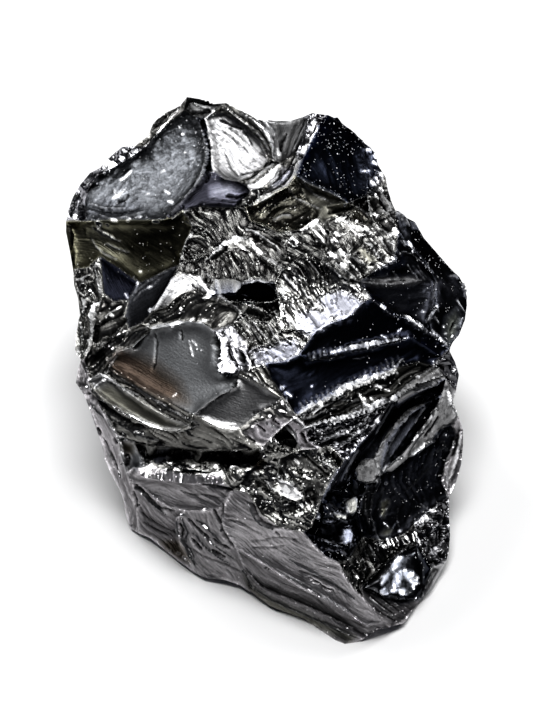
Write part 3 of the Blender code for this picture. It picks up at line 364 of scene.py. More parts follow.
# The random draws each have a seed of their own. Below them, the whole numbers that turn a cell into a draw
seeds = {
    "wander": 3, "bend": 5, "ripple": 9, "wave": 21, "fineWave": 22, "rib": 31, "fineRib": 32, "chip": 41,
    "smallChip": 61, "sparkle": 55, "stroke": 77, "crest": 88,
}
stirs = (np.uint64(0x9E3779B97F4A7C15), np.uint64(0xBF58476D1CE4E5B9))
seedStride = 7919
seedStart = 17
drawSteps = 1 << 24


def viewAxes():
    tilt = math.radians(viewElevation)
    forward = np.array([0.0, math.cos(tilt), -math.sin(tilt)])
    up = np.array([0.0, math.sin(tilt), math.cos(tilt)])
    return -forward * viewDistance, np.array([1.0, 0.0, 0.0]), up, forward


def places(pixels, heights):
    # points in space, in mm about the aimed point, that show at these pixels and lie at these heights
    eye, right, up, forward = viewAxes()
    across = (pixels[:, 0] - pictureSize[0] / 2) * pixel
    rise = (pictureSize[1] / 2 - pixels[:, 1]) * pixel
    rays = forward * viewDistance + across[:, None] * right + rise[:, None] * up
    reach = (heights - eye[2]) / rays[:, 2]
    return eye + rays * reach[:, None]


def shownAt(point):
    # the pixel that a point shows at, and its height
    eye, right, up, forward = viewAxes()
    offset = np.array(point, float) - eye
    scale = viewDistance / (offset @ forward) / pixel
    return (
        pictureSize[0] / 2 + (offset @ right) * scale,
        pictureSize[1] / 2 - (offset @ up) * scale,
        float(point[2]),
    )


def netPoints():
    points = {f"rim{i}": p for i, p in enumerate(rimPoints)}
    for name, chain in ridgePoints.items():
        points.update({f"{name}{i}": p for i, p in enumerate(chain)})
    for name, chain in hiddenPoints.items():
        points.update({f"{name}{i}": shownAt(p) for i, p in enumerate(chain)})
    return points


def borderNames(words):
    # "rim2-rim4" stands for rim2, rim3 and rim4
    names = []
    for word in words.split():
        ends = re.findall(r"([a-z]+)(\d+)", word)
        (ridge, first), (_, last) = ends[0], ends[-1]
        step = 1 if int(last) >= int(first) else -1
        names += [f"{ridge}{i}" for i in range(int(first), int(last) + step, step)]
    return names


def inside(polygon, points):
    found = np.zeros(len(points), bool)
    for (x0, y0), (x1, y1) in zip(polygon, np.roll(polygon, -1, axis=0)):
        if y0 == y1:
            continue
        crosses = (y0 > points[:, 1]) != (y1 > points[:, 1])
        found ^= crosses & (points[:, 0] < (x1 - x0) * (points[:, 1] - y0) / (y1 - y0) + x0)
    return found


def edgeDistances(polygon, points):
    runs = np.roll(polygon, -1, axis=0) - polygon
    along = ((points[:, None] - polygon) * runs).sum(2) / (runs**2).sum(1)
    nearest = polygon + np.clip(along, 0, 1)[..., None] * runs
    return np.linalg.norm(points[:, None] - nearest, axis=2)


def smoothFill(polygon, values, points):
    # mean value interpolation: straight along each edge, smooth inside
    spokes = polygon[None] - points[:, None]
    reach = np.linalg.norm(spokes, axis=2)
    after = np.roll(spokes, -1, axis=1)
    reachAfter = np.roll(reach, -1, axis=1)
    cross = spokes[..., 0] * after[..., 1] - spokes[..., 1] * after[..., 0]
    dot = (spokes * after).sum(2)
    with np.errstate(divide="ignore", invalid="ignore"):
        half = cross / (reach * reachAfter + dot)
        weights = (np.roll(half, 1, axis=1) + half) / reach
        filled = (weights * values).sum(1) / weights.sum(1)
    onEdge = (np.abs(cross) < 1e-6 * reach * reachAfter + 1e-9) & (dot <= 0)
    rows, edges = np.nonzero(onEdge)
    share = reach[rows, edges] / np.maximum(reach[rows, edges] + reachAfter[rows, edges], 1e-9)
    filled[rows] = values[edges] * (1 - share) + np.roll(values, -1)[edges] * share
    return filled


def hollow(distances):
    # 0 on the border and 1 at the middle of a face, steep at the border as a shell-like break is
    depth = (np.maximum(distances, 1e-6) ** -2.0).sum(1) ** -0.5
    return 1 - (1 - depth / max(depth.max(), skinValues["hollowReach"])) ** 2


def faceHeights(faces, net, points, inward):
    # height of every point, the number of its face, and how far it lies from that face's border
    heights = np.full(len(points), np.nan)
    owner = np.zeros(len(points), int)
    border = np.zeros(len(points))
    for number, (words, dish, *_) in enumerate(faces.values()):
        corners = np.array([net[n] for n in borderNames(words)])
        polygon = corners[:, :2]
        near = ((points > polygon.min(0) - 1) & (points < polygon.max(0) + 1)).all(1)
        rows = np.nonzero(near)[0]
        distances = edgeDistances(polygon, points[rows])
        held = inside(polygon, points[rows]) | (distances.min(1) < 2 * skinValues["onLine"])
        rows, distances = rows[held], distances[held]
        if not len(rows):
            continue
        heights[rows] = smoothFill(polygon, corners[:, 2], points[rows]) + inward * dish * hollow(distances)
        owner[rows] = number
        border[rows] = distances.min(1)
    return heights, owner, border


def spacedBorders(faces, net, spacing):
    # points at equal steps along every border, and the edges between them
    points, numbers, edges, done = [], {}, [], set()

    def number(name):
        if name not in numbers:
            numbers[name] = len(points)
            points.append(net[name][:2])
        return numbers[name]

    for words, *_ in faces.values():
        names = borderNames(words)
        for a, b in zip(names, names[1:] + names[:1]):
            if frozenset((a, b)) in done:
                continue
            done.add(frozenset((a, b)))
            a, b = sorted((a, b))
            first, last = number(a), number(b)
            start, end = np.array(net[a][:2]), np.array(net[b][:2])
            parts = max(1, round(np.linalg.norm(end - start) / spacing))
            chain = [first]
            for k in range(1, parts):
                chain.append(len(points))
                points.append(tuple(start + (end - start) * k / parts))
            chain.append(last)
            edges += list(zip(chain, chain[1:]))
    return np.array(points), edges


def clearOf(borders, edges, grid, spacing):
    # which points of the grid keep clear of every border
    reach = spacing * skinValues["clearance"]
    cells = {}
    for i, p in enumerate(grid):
        cells.setdefault((int(p[0] // spacing), int(p[1] // spacing)), []).append(i)
    clear = np.ones(len(grid), bool)
    for a, b in edges:
        a, b = borders[a], borders[b]
        low, high = np.minimum(a, b) - reach, np.maximum(a, b) + reach
        box = np.array([
            i
            for cx in range(int(low[0] // spacing), int(high[0] // spacing) + 1)
            for cy in range(int(low[1] // spacing), int(high[1] // spacing) + 1)
            for i in cells.get((cx, cy), ())
        ], int)
        if not len(box):
            continue
        run = b - a
        along = np.clip(((grid[box] - a) @ run) / (run @ run), 0, 1)
        gap = np.linalg.norm(grid[box] - (a + along[:, None] * run), axis=1)
        clear[box[gap < reach]] = False
    return clear


def skin(faces, net, spacing, borderSpacing, inward):
    # the net filled with small triangles: pixels, heights, face numbers, distances from the border, corners
    rim = np.array([net[f"rim{i}"] for i in range(len(rimPoints))])[:, :2]
    borders, edges = spacedBorders(faces, net, borderSpacing)
    low, high = rim.min(0), rim.max(0)
    rows = np.arange(low[1], high[1], spacing * math.sqrt(3) / 2)
    grid = np.array([
        (x + (spacing / 2 if i % 2 else 0), y)
        for i, y in enumerate(rows)
        for x in np.arange(low[0], high[0], spacing)
    ])
    grid = grid[inside(rim, grid)]
    points = np.concatenate([borders, grid[clearOf(borders, edges, grid, spacing)]])
    made = geometry.delaunay_2d_cdt([Vector(p) for p in points], edges, [], 1, 1e-6)
    pixels = np.array([tuple(v) for v in made[0]])
    heights, owner, border = faceHeights(faces, net, pixels, inward)
    return pixels, heights, owner, border, np.array([tuple(f) for f in made[2]])


def latticeValues(cells, seed):
    # repeatable random numbers, one for each whole-number cell
    mixed = np.zeros(len(cells), np.uint64) + np.uint64(seed * seedStride + seedStart)
    for k in range(cells.shape[1]):
        mixed = mixed ^ (cells[:, k].astype(np.int64).astype(np.uint64) * stirs[0])
        mixed = (mixed ^ (mixed >> np.uint64(29))) * stirs[1]
        mixed = mixed ^ (mixed >> np.uint64(32))
    return (mixed % np.uint64(drawSteps)).astype(float) / drawSteps


def smoothNoise(points, seed):
    # soft random swells from -1 to 1, about one unit long
    base = np.floor(points).astype(int)
    part = points - base
    part = part * part * (3 - 2 * part)
    size = points.shape[1]
    total = np.zeros(len(points))
    for corner in range(2**size):
        offset = np.array([(corner >> k) & 1 for k in range(size)])
        share = np.prod(np.where(offset, part, 1 - part), axis=1)
        total += share * latticeValues(base + offset, seed)
    return total * 2 - 1


def chips(points, seed):
    # flat little facets, each tilted its own way: their height over the field
    base = np.floor(points).astype(int)
    size = points.shape[1]
    best = np.full(len(points), 1e9)
    height = np.zeros(len(points))
    for step in np.ndindex(*([3] * size)):
        cell = base + np.array(step) - 1
        spot = cell + np.stack([latticeValues(cell, seed + k) for k in range(size)], 1)
        away = points - spot
        far = (away**2).sum(1)
        tilt = np.stack([latticeValues(cell, seed + 5 + k) - 0.5 for k in range(size)], 1)
        level = (away * tilt * 2).sum(1) + latticeValues(cell, seed + 9) - 0.5
        nearer = far < best
        best[nearer] = far[nearer]
        height[nearer] = level[nearer]
    return height


# Ways the stone breaks. rough: blur of the reflection. tone: how silvery the surface is, 0 to 1.
# chip: height of its flat little facets in mm, with their length and width in pixels.
# swell: height of soft waves in mm, with their length and width in pixels. fibre: the same for sharp ribs.
# grit: strength of the finest grain. lines: strength of fine lines along the grain. glint: how many tiny
# facets flash, each turned to the lamp with a painted glint added to its colour. tint: the cast of the
# silver, as a hex colour.
# shine: how far its facets turn to the light together, 0 to 1. crest: the tone of the sharp ribs' tops.
breakKinds = {
    "mirror": dict(rough=0.10, tone=0.15, chip=(0.0, 9, 9), swell=(0.03, 26, 14), fibre=(0.0, 20, 4),
                   grit=0.05, lines=0.05, glint=0.15, tint="#f4f6ff"),
    "black": dict(rough=0.16, tone=0.06, chip=(0.03, 12, 7), swell=(0.05, 22, 12), fibre=(0.02, 30, 5),
                  grit=0.15, lines=0.2, glint=0.12, tint="#e2e8ff"),
    "satin": dict(rough=0.42, tone=0.16, chip=(0.0, 9, 9), swell=(0.012, 50, 20), fibre=(0.0, 30, 5),
                  grit=0.3, lines=0.25, glint=0.03, tint="#f6f6f8"),
    "layered": dict(rough=0.28, tone=0.13, chip=(0.06, 18, 5), swell=(0.10, 60, 7), fibre=(0.14, 46, 4),
                    grit=0.3, lines=0.8, glint=0.3, tint="#f8f6f0"),
    "grainy": dict(rough=0.42, tone=0.12, chip=(0.05, 7, 4), swell=(0.08, 14, 9), fibre=(0.04, 16, 4),
                   grit=0.9, lines=0.5, glint=0.7, tint="#eef2ff"),
    "hackly": dict(rough=0.24, tone=0.22, chip=(0.10, 16, 6), swell=(0.3, 40, 10), fibre=(0.24, 34, 4.5),
                   grit=0.5, lines=1.7, glint=0.6, tint="#f8f7f3"),
    "crushed": dict(rough=0.18, tone=0.30, chip=(0.36, 10, 6), swell=(0.25, 16, 9), fibre=(0.1, 14, 4),
                    grit=0.5, lines=0.4, glint=0.8, tint="#f8f8ff"),
    "rubble": dict(rough=0.26, tone=0.12, chip=(0.5, 24, 11), swell=(0.4, 30, 15), fibre=(0.08, 28, 5),
                   grit=0.5, lines=1.0, glint=0.9, shine=0.2, tint="#faf9f4"),
    "flow": dict(rough=0.38, tone=0.15, chip=(0.02, 26, 6), swell=(0.05, 60, 13), fibre=(0.04, 60, 3.5),
                 grit=0.8, lines=1.2, glint=0.05, tint="#f6f2f6"),
}

# What a kind leaves out
plainLook = dict(shine=0.0, crest=0.045)

# Lines drawn on the stone. height: raised or cut in mm. tone, rough, glint, shine and tint: what they take
# the surface to. cover: how fully they do
strokeKinds = {
    "ridge": dict(height=0.22, tone=0.06, rough=0.32, glint=0.6, shine=0.9, cover=0.85, tint="#f4f5f8"),
    "rib": dict(height=0.16, tone=0.028, rough=0.36, shine=0.8, cover=0.7, tint="#eef0f6"),
    # a crack or groove is painted darker as well as cut: painted shade in the cut
    "crack": dict(height=-0.35, tone=0.008, rough=0.5, glint=0.0, shine=0.0, cover=0.95),
    "groove": dict(height=-0.15, tone=0.03, rough=0.4, shine=0.0, cover=0.6),
    # a glint line is a painted glint: a light tone on a line turned to the lamp
    "glint": dict(height=0.05, tone=0.3, rough=0.25, shine=1.0, cover=1.0, tint="#f8f8fa"),
}

# How a drawn line is laid on. strokeReach and strokeHalf: how far it is felt and its half width, in widths.
# tip and taper: its width at an end, and how fast it grows from there. ragged: unevenness of its width, and
# its length in pixels. fullWidth: the width in pixels that has its full height, mostLift: the most above it.
markValues = {
    "strokeReach": 2.2, "strokeHalf": 0.52, "tip": 0.35, "taper": 6, "ragged": 0.4, "raggedLength": 2.6,
    "fullWidth": 3.0, "mostLift": 1.5, "tintCover": 0.8,
}

# How the breakage is laid out, lengths in pixels. wander and bend: how far the grain strays. fineWave,
# smallChip and fineRib: the share of the finer pattern, and how many times finer it is. crest: which ribs
# have bright tops. Patches: least strength, swing, length. Shape: rounds of smoothing, height in mm. Light
# and shade pairs: the painted highlight a ridge gains and the painted shade a crease loses. footFade: height
# in mm below which the breakage fades.
reliefValues = {
    "wander": 8, "wanderLength": 34.0, "bend": 5, "bendLength": 17.0, "fineWave": (0.5, 2.1),
    "smallChip": (0.25, 2.3), "fineRib": (0.7, 1.9), "borderFade": 2.5, "footFade": 0.6,
    "crestFrom": 0.45, "crestSpan": 0.3, "crestFibre": 0.2, "crestPatches": (0.6, 0.9, 7.0),
    "crestShine": 0.85, "crestCover": 0.8, "fineShape": (2, 0.05), "broadShape": (10, 0.22),
    "ridgeLightAndShade": (0.9, 0.45), "bulkLightAndShade": (0.25, 0.6), "toneRange": (0.004, 0.98), "ridgeGlint": 0.6,
    "borderGlint": (0.9, 1.2), "glintPatches": (0.7, 1.5, 7.0), "glintRange": (0.05, 2.2), "crispAngle": 38,
}


def strokesOf(rows):
    # a kind goes on until the next one, a lone number is the width that a new line starts with, and a pair is
    # a pixel that it runs through; a row that starts with # is a note
    found = []
    for word in re.sub("#.*", "", rows).split():
        if word in strokeKinds:
            kind = word
        elif "," in word:
            found[-1][2].extend(pointsOf(word))
        else:
            found.append((kind, float(word), []))
    return found


def bars(kind, width, start, step, reach, count):
    # a row of short parallel lines, each one step further on
    return [
        (kind, width, [(start[0] + k * step[0], start[1] + k * step[1]),
                       (start[0] + k * step[0] + reach[0], start[1] + k * step[1] + reach[1])])
        for k in range(count)
    ]


# Each line drawn on the stone, in the order they are laid on
strokes = strokesOf("""
# the centre: arch, hollows and the silver band below the crest
glint 3.5 213,253 219,249 226,243 236,239 243,239
ridge 2.5 205,262 213,254 222,245 236,238 247,240 256,249 264,255
glint 2.5 240,244 246,251 250,257 2 249,240 255,249 262,255
ridge 2 246,230 258,236 270,243 277,249 281,258
crack 2.5 252,238 262,243 273,250 2.5 212,259 222,252 228,246
ridge 2 262,258 272,262 281,268 286,277 2.5 231,288 243,283 256,280 266,282 274,288 279,296
crack 3 236,290 246,287 258,285 268,286 276,293
ridge 2 199,276 206,284 214,290 224,295 231,299
glint 2.5 200,281 207,290 214,295
ridge 2 203,272 212,280 222,288 230,294 2 214,299 226,301 236,308 241,314
glint 4 241,304 249,305 258,309
crack 5 245,313 254,312 263,315
ridge 2 268,303 274,309 277,317
crack 2 272,300 278,308 280,318
glint 3 281,289 284,295 287,299 3 280,288 287,289
ridge 2.5 284,276 291,282 297,290 2 293,277 303,291 312,302 322,312 2 299,275 311,290 322,303
crack 1.8 297,283 306,297 315,308 1.8 290,292 299,307 308,318 1.8 303,280 316,297 326,308
ridge 2 288,300 297,313 305,325 2 282,303 286,315 291,327
crack 2 286,306 293,318 296,330
glint 3 287,317 293,322 299,330
ridge 2 310,262 322,278 333,291
crack 2 305,262 317,281 330,294
ridge 2 322,258 332,270 343,280 347,284 2 245,320 252,330 260,341 2 252,321 262,334 274,346
crack 2 249,326 256,337 262,345
ridge 2 268,325 275,336 281,345
crack 2 258,324 268,337 275,345 2 279,332 286,341 292,346
glint 2.2 287,241 294,247 297,242 292,238 287,241
crack 3.5 326,224 326,236 325,250
glint 2.5 310,224 317,233 324,241 2.5 316,222 322,229 327,236 2 302,229 309,224 318,219 2.5 330,240 336,238
340,242 4 329,252 336,254 339,257 3.5 342,262 344,267 2 340,249 345,256 350,264 3 335,231 340,236
crack 3 340,279 350,282 360,283
# the black slot and the bright crumbs beside the leaf
crack 3.5 215,333 217,343 216,354 217,364
glint 5 221,341 228,340 6 224,352 224,362 229,367 4.5 234,343 237,348
crack 2 229,344 230,353 233,361
glint 4 244,341 246,345
crack 3 240,351 244,357 243,364 3 234,362 238,368 3 252,343 248,352 251,358
# the granular disc at the top left, its rim and its nicks
glint 3 182,105 172,115 163,126 158,134
ridge 2.5 158,134 150,143 140,150 128,156
crack 2.5 155,133 150,139 142,145 2.5 166,114 158,121 153,130 3.5 201,118 205,132 208,148 208,162 205,175
198,186
rib 2 199,118 203,133 205,148 205,162 201,175 3 203,172 194,188 181,203 167,217
glint 5 103,168 108,163 116,167 2 104,168 105,175 2 110,166 109,174 3 119,181 126,177 132,171 3.5 112,199
119,196 125,190 2 114,189 117,197
crack 2 116,202 124,200 129,195
glint 4 73,214 77,220 4.5 96,222 102,225 2.5 127,221 131,219 2.5 134,217 142,217 3 152,221 159,222 2 106,224
109,226 2 112,221 118,221
rib 2 100,215 112,219 128,217 145,211
groove 3 88,207 102,211 122,212 138,208
rib 2 89,203 104,208 124,208
groove 3 108,184 118,175 132,168
crack 2.5 170,215 177,210 184,206
ridge 2.5 171,219 181,214 190,209
glint 3 168,201 174,203 2 164,190 170,194 2.5 161,173 165,170 2.5 182,135 184,134 2 179,126 180,129 2
186,120 187,121 2 184,152 187,153 2 145,195 149,194
ridge 2 192,102 201,107 211,108
crack 2.5 190,113 200,113 211,111 2 188,99 199,101 212,103
# the bright scoop, the black arc beside it and the creases that meet in a star
ridge 2 224,106 233,113 241,120 250,127 259,135 265,144 269,157
crack 4 230,106 240,114 249,121 257,128 264,137 269,147 272,158
rib 2 238,111 252,119 261,127 267,135 272,144 275,154
crack 2 232,104 246,111 256,117 266,123
glint 2 254,121 262,128 269,137 273,143
ridge 5 264,122 269,129 274,137
glint 2.5 277,148 279,157
crack 2 286,134 282,142 281,152
groove 2 296,122 290,138 285,155 2 303,124 297,138 290,155
rib 2 308,119 301,134 292,152
glint 3 315,121 312,130 307,138 2.5 318,127 313,135 310,141
crack 2 316,126 311,134 307,141
glint 4 309,142 305,148 302,153
ridge 3 302,150 297,158 293,164 3 303,156 298,165 294,176 286,185 276,191 264,199 250,206
groove 2 292,168 287,176 281,184
rib 2 282,166 274,177 268,188 2.5 276,162 264,171 254,179 246,184
ridge 2 258,190 258,197
crack 2.5 226,195 237,197 249,194
groove 2 207,198 228,202 246,203
crack 2 220,120 232,126 243,129
groove 2 221,129 230,136 240,144 249,152 1.8 228,127 240,136 250,146 1.8 243,131 249,139 253,146 1.8 224,150
230,165 238,176
crack 2 241,174 250,172 260,170
glint 3 212,111 215,111 3 211,132 217,131 3 216,138 221,138 2 212,120 214,124
crack 4 208,141 209,155 207,170 206,182
# the right shoulder: black flank with bright shards on its outer edge
ridge 1.8 331,118 341,123 350,130
crack 1.8 335,118 345,123 352,129
rib 2.5 354,134 364,141 373,149
glint 4 374,154 376,159 2.5 366,149 370,152 3 372,162 376,165 2 361,171 370,171 2.5 379,173 383,177 2.5
375,176 380,183
ridge 2 370,177 377,186 385,196 393,208
glint 2 371,180 375,185 2.5 380,187 385,191
crack 2 376,190 384,200 391,211
glint 2 371,195 373,197 3 375,194 379,199
ridge 2 381,196 387,203 394,212
crack 4 370,199 377,206 383,213
ridge 1.8 368,195 369,204 371,213 372,219
glint 4 373,214 379,217
ridge 2 382,209 388,214 395,222
rib 3.5 391,210 400,216 407,224
ridge 2 395,212 404,217 409,226
crack 4 396,218 402,228 408,240
glint 6 388,237 394,233 397,236 3 392,228 398,233
rib 3 400,240 406,247
glint 2.5 408,240 412,247 3.5 344,222 352,227 362,228 371,233 3 350,229 356,234 364,236
crack 2 362,231 371,236 378,243
ridge 2 370,224 379,234 387,245 394,252 2 376,224 386,235 396,246
crack 2 373,226 382,237 390,248
glint 4 335,231 340,235 4 331,240 338,241 3 335,221 344,219 2.5 351,202 352,203 2.5 344,204 346,207 2.5
355,222 357,223
rib 2 356,206 363,210 369,216 2 300,176 306,186 314,194 328,201 2 287,188 296,198 307,204 321,209
groove 2 290,192 300,203 312,210
rib 2.5 273,222 283,216 292,217
crack 3 328,213 340,210 352,208
glint 3 300,231 309,227 318,221
ridge 2 246,229 256,235 266,240
# the left side: olive wall, pyramid, blade and the long bright ridge
glint 5 97,226 101,225
ridge 3 98,228 105,233 114,238
rib 2 92,226 103,235 122,242 1.8 91,238 96,247 106,255 118,260 1.8 105,243 115,248 130,253
groove 2 83,228 86,236
ridge 1.5 199,229 191,224 185,221 1.8 193,232 187,240 184,250 181,262
glint 3.5 139,272 142,271 4.5 137,283 139,284
rib 2 133,277 141,285
glint 2 125,293 128,298
rib 2 124,306 134,293 148,282 162,273 175,266 1.5 161,278 152,286 141,292 132,303
glint 2 148,288 152,286
ridge 2.5 152,311 160,302 166,292 172,281 180,272
glint 2.5 187,273 196,278 205,288 211,297
crack 2 184,272 194,272 203,280 211,290
glint 2 196,274 203,283 210,292
crack 2 191,284 199,290 207,293
glint 4 202,298 210,297
ridge 3.5 101,302 95,308 92,318 93,328 92,338 89,346 84,357
glint 2.5 100,303 96,307 94,312
crack 4 97,312 96,322 97,332 95,342 5 104,343 112,334 119,327 126,319
ridge 1.8 96,349 106,340 116,330 127,320 1.8 105,318 112,312 122,308
rib 2 107,348 120,338 130,331 2 130,346 139,336 147,327 154,318
crack 2.5 134,350 142,341 150,331
ridge 2.5 149,329 158,326 170,324 183,321
glint 3 171,327 180,323 3 190,320 194,318 3 200,321 207,320 4 111,316 114,316 2.5 117,309 122,307 3.5
103,347 105,348 3 112,349 114,349 2.5 108,345 109,346 2.5 117,336 120,334 2 123,333 125,331 4 149,310
151,311 2.5 178,314 184,311 2.5 180,310 182,308 2 189,341 191,349 193,357 1.8 192,340 197,346 3 197,349
198,349 2 201,351 202,351
crack 1.8 155,333 157,343 156,353 155,364 152,371 2 181,330 182,340
glint 4 90,291 92,290
ridge 2 75,282 82,280 90,275 2.5 100,262 96,270 99,282 101,295
rib 2 86,275 82,285 78,296
ridge 2 84,300 87,308 83,316 2 79,320 82,332 80,345 76,354
glint 3 76,354 78,357
ridge 2 88,300 84,310
crack 2 85,318 88,332 86,345
# right of the centre: white blocks, the black lens, the splintered ridge and the crushed bands
crack 4 354,240 355,248 353,253
glint 5 331,254 337,256 4 342,261 345,267
ridge 2 340,250 348,254 357,259 366,266 2 337,262 346,271 357,280 2 330,265 341,277 352,283 1.8 347,262
356,270 364,276
crack 2 335,266 345,275 354,282 2 350,260 360,268 370,273
glint 2.5 379,262 383,265 2.5 382,262 387,267 2.5 387,258 392,263 2.5 391,256 395,261 2 376,264 380,268
ridge 1.8 380,240 389,250 398,258 1.8 386,240 394,248 402,256
crack 1.8 383,241 391,250 400,258
ridge 1.8 366,242 375,252 384,258
rib 4 359,282 374,284 394,285 408,283 421,281 3 368,280 385,281 402,280 415,279 1.8 392,271 396,276 401,281
1.8 407,264 412,272 419,280 1.8 413,265 419,274 426,281 1.5 418,266 423,274 429,280
ridge 1.8 402,252 412,254 422,262 434,274
glint 3 411,249 413,252
ridge 2 403,240 408,247 413,250
rib 1.5 436,279 435,290 433,300
ridge 3 354,280 362,289 370,298
glint 2 350,285 359,292 369,299
ridge 2 370,298 376,303 384,309 391,315 401,318
glint 3 380,305 385,309
ridge 6 404,317 411,322 418,327 427,333
glint 2 403,315 412,322 420,329 1.8 416,321 424,328 429,334
groove 1.5 405,320 414,326 423,332 1.5 411,320 420,326 428,332
glint 2 430,333 437,338 443,343
ridge 2 431,330 439,337 446,345
crack 1.8 430,334 437,340 443,346
ridge 3 427,323 431,316 436,309
glint 2 436,305 438,308
ridge 1.8 434,317 439,324 2 437,308 438,313
glint 1.8 422,311 425,312 4 331,353 337,351 344,349
ridge 7 346,349 358,347 370,345 383,343 4 383,343 392,341 400,340
glint 2.5 350,348 354,347 3 365,345 369,345 2.5 371,342 374,343 2.5 381,335 386,338 2 397,332 402,328 1.8
404,339 410,336
rib 3 318,358 330,358 345,355 1.5 352,359 359,359 368,356
ridge 7 336,389 348,386 360,383 371,379 6 371,379 382,375 392,372 397,374 3 392,371 397,365 403,358
glint 4 363,377 366,379 4 347,386 350,389 3 370,379 376,377 3 355,382 361,381 2.5 380,377 385,379 2 432,361
434,363 1.8 416,375 419,379
rib 1.5 372,384 380,387 388,386
ridge 3 463,284 466,291 466,299 2 457,300 461,308 465,314 2 450,276 455,275 459,279
glint 3 445,333 446,335 3.5 451,335 453,338 2.5 443,326 444,328
crack 3 455,322 450,332
ridge 2 443,343 447,347 450,350
# the leaf: fine curved grooves, the white rim below it and the dark band under the rim
groove 2 108,370 122,380 140,393 160,406 180,417 196,426
rib 1.8 112,372 125,381 145,394 165,407 182,416
groove 2 104,380 120,387 140,399 158,410 175,419 190,426
rib 1.8 109,381 122,388 138,395 1.8 130,383 142,391 156,400 170,407
crack 1.5 171,402 181,408 191,414
groove 1.8 165,413 178,422 188,425
rib 1.5 160,402 172,410 186,418 200,424
glint 5 103,381 107,378
ridge 2.5 93,389 100,383 107,372 113,361 118,355 1.5 92,389 99,397 109,404 118,409
glint 2.5 113,406 122,412 132,417 3.5 126,414 138,420 150,425 162,429
ridge 2 160,430 170,431 185,430 200,425
crack 4 88,393 97,402 109,411 121,419 132,425 147,430
rib 1.8 100,409 112,419 126,428 142,436 158,441
crack 2 118,438 132,441 148,445 164,443
glint 1.8 134,430 139,432 144,434 2.2 121,432 125,435 2 111,426 111,427 2 113,428 114,429 1.8 173,397
177,393
ridge 2 196,414 203,409 209,405
glint 4 88,380 91,378 4 86,386 89,387
# the left flank and the ledge under the leaf
ridge 1.8 88,400 97,411 108,421 115,432 121,445 124,457 130,470
crack 1.8 103,437 108,448 113,458 118,470 1.8 96,426 101,434 2 114,438 117,444
glint 1.8 109,454 114,461 2 117,466 119,472 121,478 2 121,465 124,462
crack 3.5 126,454 128,459 127,466
glint 2.5 126,457 128,457 4 141,450 147,451 145,455 4 146,468 153,467 159,468 3 149,472 152,474 3 174,463
176,462 3.5 177,470 176,476 2.5 183,465 188,471 192,477 4 194,468 200,475 206,480 2 200,462 196,466 2.5
182,452 188,454 194,455 2.5 180,478 185,480 2 157,475 158,476 2 163,477 168,476
ridge 2 160,462 165,467 171,471 2 168,452 171,458 173,462
# between the leaf and the slabs: white crumbs, the lens crack, the plates and the black pits
crack 4 215,341 216,350 216,360 2 228,343 228,352 232,359 237,361 5 242,353 242,361
glint 3 247,358 251,364 249,370
crack 4 238,376 236,382 233,387 2 231,389 223,395 214,401 206,408 200,412
ridge 1.5 219,399 211,404 203,410 1.8 241,368 250,375 258,381 268,388
glint 2 255,379 256,380 2 269,389 270,389
crack 3 271,406 279,403 2 252,413 261,410 270,406
glint 4.5 281,386 283,389 3 285,392 292,397 4 281,401 284,405
ridge 2.5 286,397 287,405 291,412 295,418
glint 2.5 279,410 287,413 3 268,416 271,416 4 252,425 253,427 2 260,418 264,416 4.5 203,418 214,423 226,427
238,429 2 212,421 224,423 236,424
crack 1.8 257,425 265,431 1.8 246,436 255,443 1.8 272,420 280,425
rib 1.8 264,421 272,426 281,430
crack 2.5 301,433 303,438 306,443 2 287,425 293,432
glint 2.5 262,447 262,450 4 263,455 266,458 2 271,438 271,443 2 274,439 278,443 2.5 290,419 296,418 2
229,456 233,454 237,451 3 217,462 221,466 4.5 222,468 228,473 4 217,476 226,478 3.5 203,474 207,479 2.5
206,470 213,476
ridge 2 259,453 250,463 240,470 231,474
glint 2 234,472 236,471 2 247,471 250,472 2 255,473 258,474
ridge 3 268,462 275,471 282,480 2 279,463 284,471 288,479
glint 3.5 273,479 276,478 2.5 263,468 270,467 3 294,460 299,464 3 304,474 310,479 2.5 302,484 305,487 2.5
318,457 321,460 2.5 297,456 301,457
ridge 3 322,460 330,465 338,470 2 314,452 322,456 332,460
crack 3 300,454 312,462 322,470 332,478
# crushed bands on the slabs and the shards between them
ridge 6 298,415 309,409 320,404 334,396 346,388
glint 4 319,404 322,406 3 309,406 311,407 2.5 336,394 341,392 2.5 312,414 317,409
rib 3 300,417 316,411 330,403 345,395
glint 2.5 311,386 313,387 5 332,418 333,424 4 338,419 339,424 4 314,427 317,430 3 326,421 327,425
ridge 3 335,421 346,417 356,414 366,409 378,402 387,397
glint 2.5 339,419 346,416 3 363,397 369,406 3 373,404 379,401 2.5 370,397 374,401 3 390,399 395,395
ridge 2.5 362,414 359,422 4 303,429 312,426 322,423 333,420 342,418 3.5 341,418 354,415 366,410 378,405
390,400 400,396
rib 4 316,441 330,437 345,432 358,427 366,422 3 322,434 336,430 350,425 362,419 374,413 3 334,445 348,440
360,433 370,425 3 300,421 312,417 326,412 336,408
groove 3 328,441 342,436 356,430 3 316,437 330,432 346,427
rib 1.5 337,402 344,400 352,401 1.5 345,407 352,402 360,400 2 352,411 360,406 366,404
glint 1.6 373,386 382,388 390,391 2 357,392 362,399 367,407
rib 3 366,482 363,496 364,510 369,526 2.5 377,484 372,498 370,514 375,532 381,546 2 372,483 367,500 367,516
2.5 318,440 332,436 346,432 360,426
crack 3 318,446 334,441 352,436
rib 2 338,436 346,435 351,439
glint 2.5 350,451 356,449 2 345,429 347,432 2 377,420 380,424 2 330,443 332,444 2.5 347,457 348,459
# the ribbons on the right
ridge 2.5 389,402 400,395 412,388 425,381 442,375
rib 3 392,398 403,389 415,380 426,372 437,367
groove 1.8 396,399 410,390 423,383 440,378
rib 3 414,391 426,387 440,383
crack 2.5 415,386 428,383 442,379
rib 2 394,403 388,412 381,424 375,436
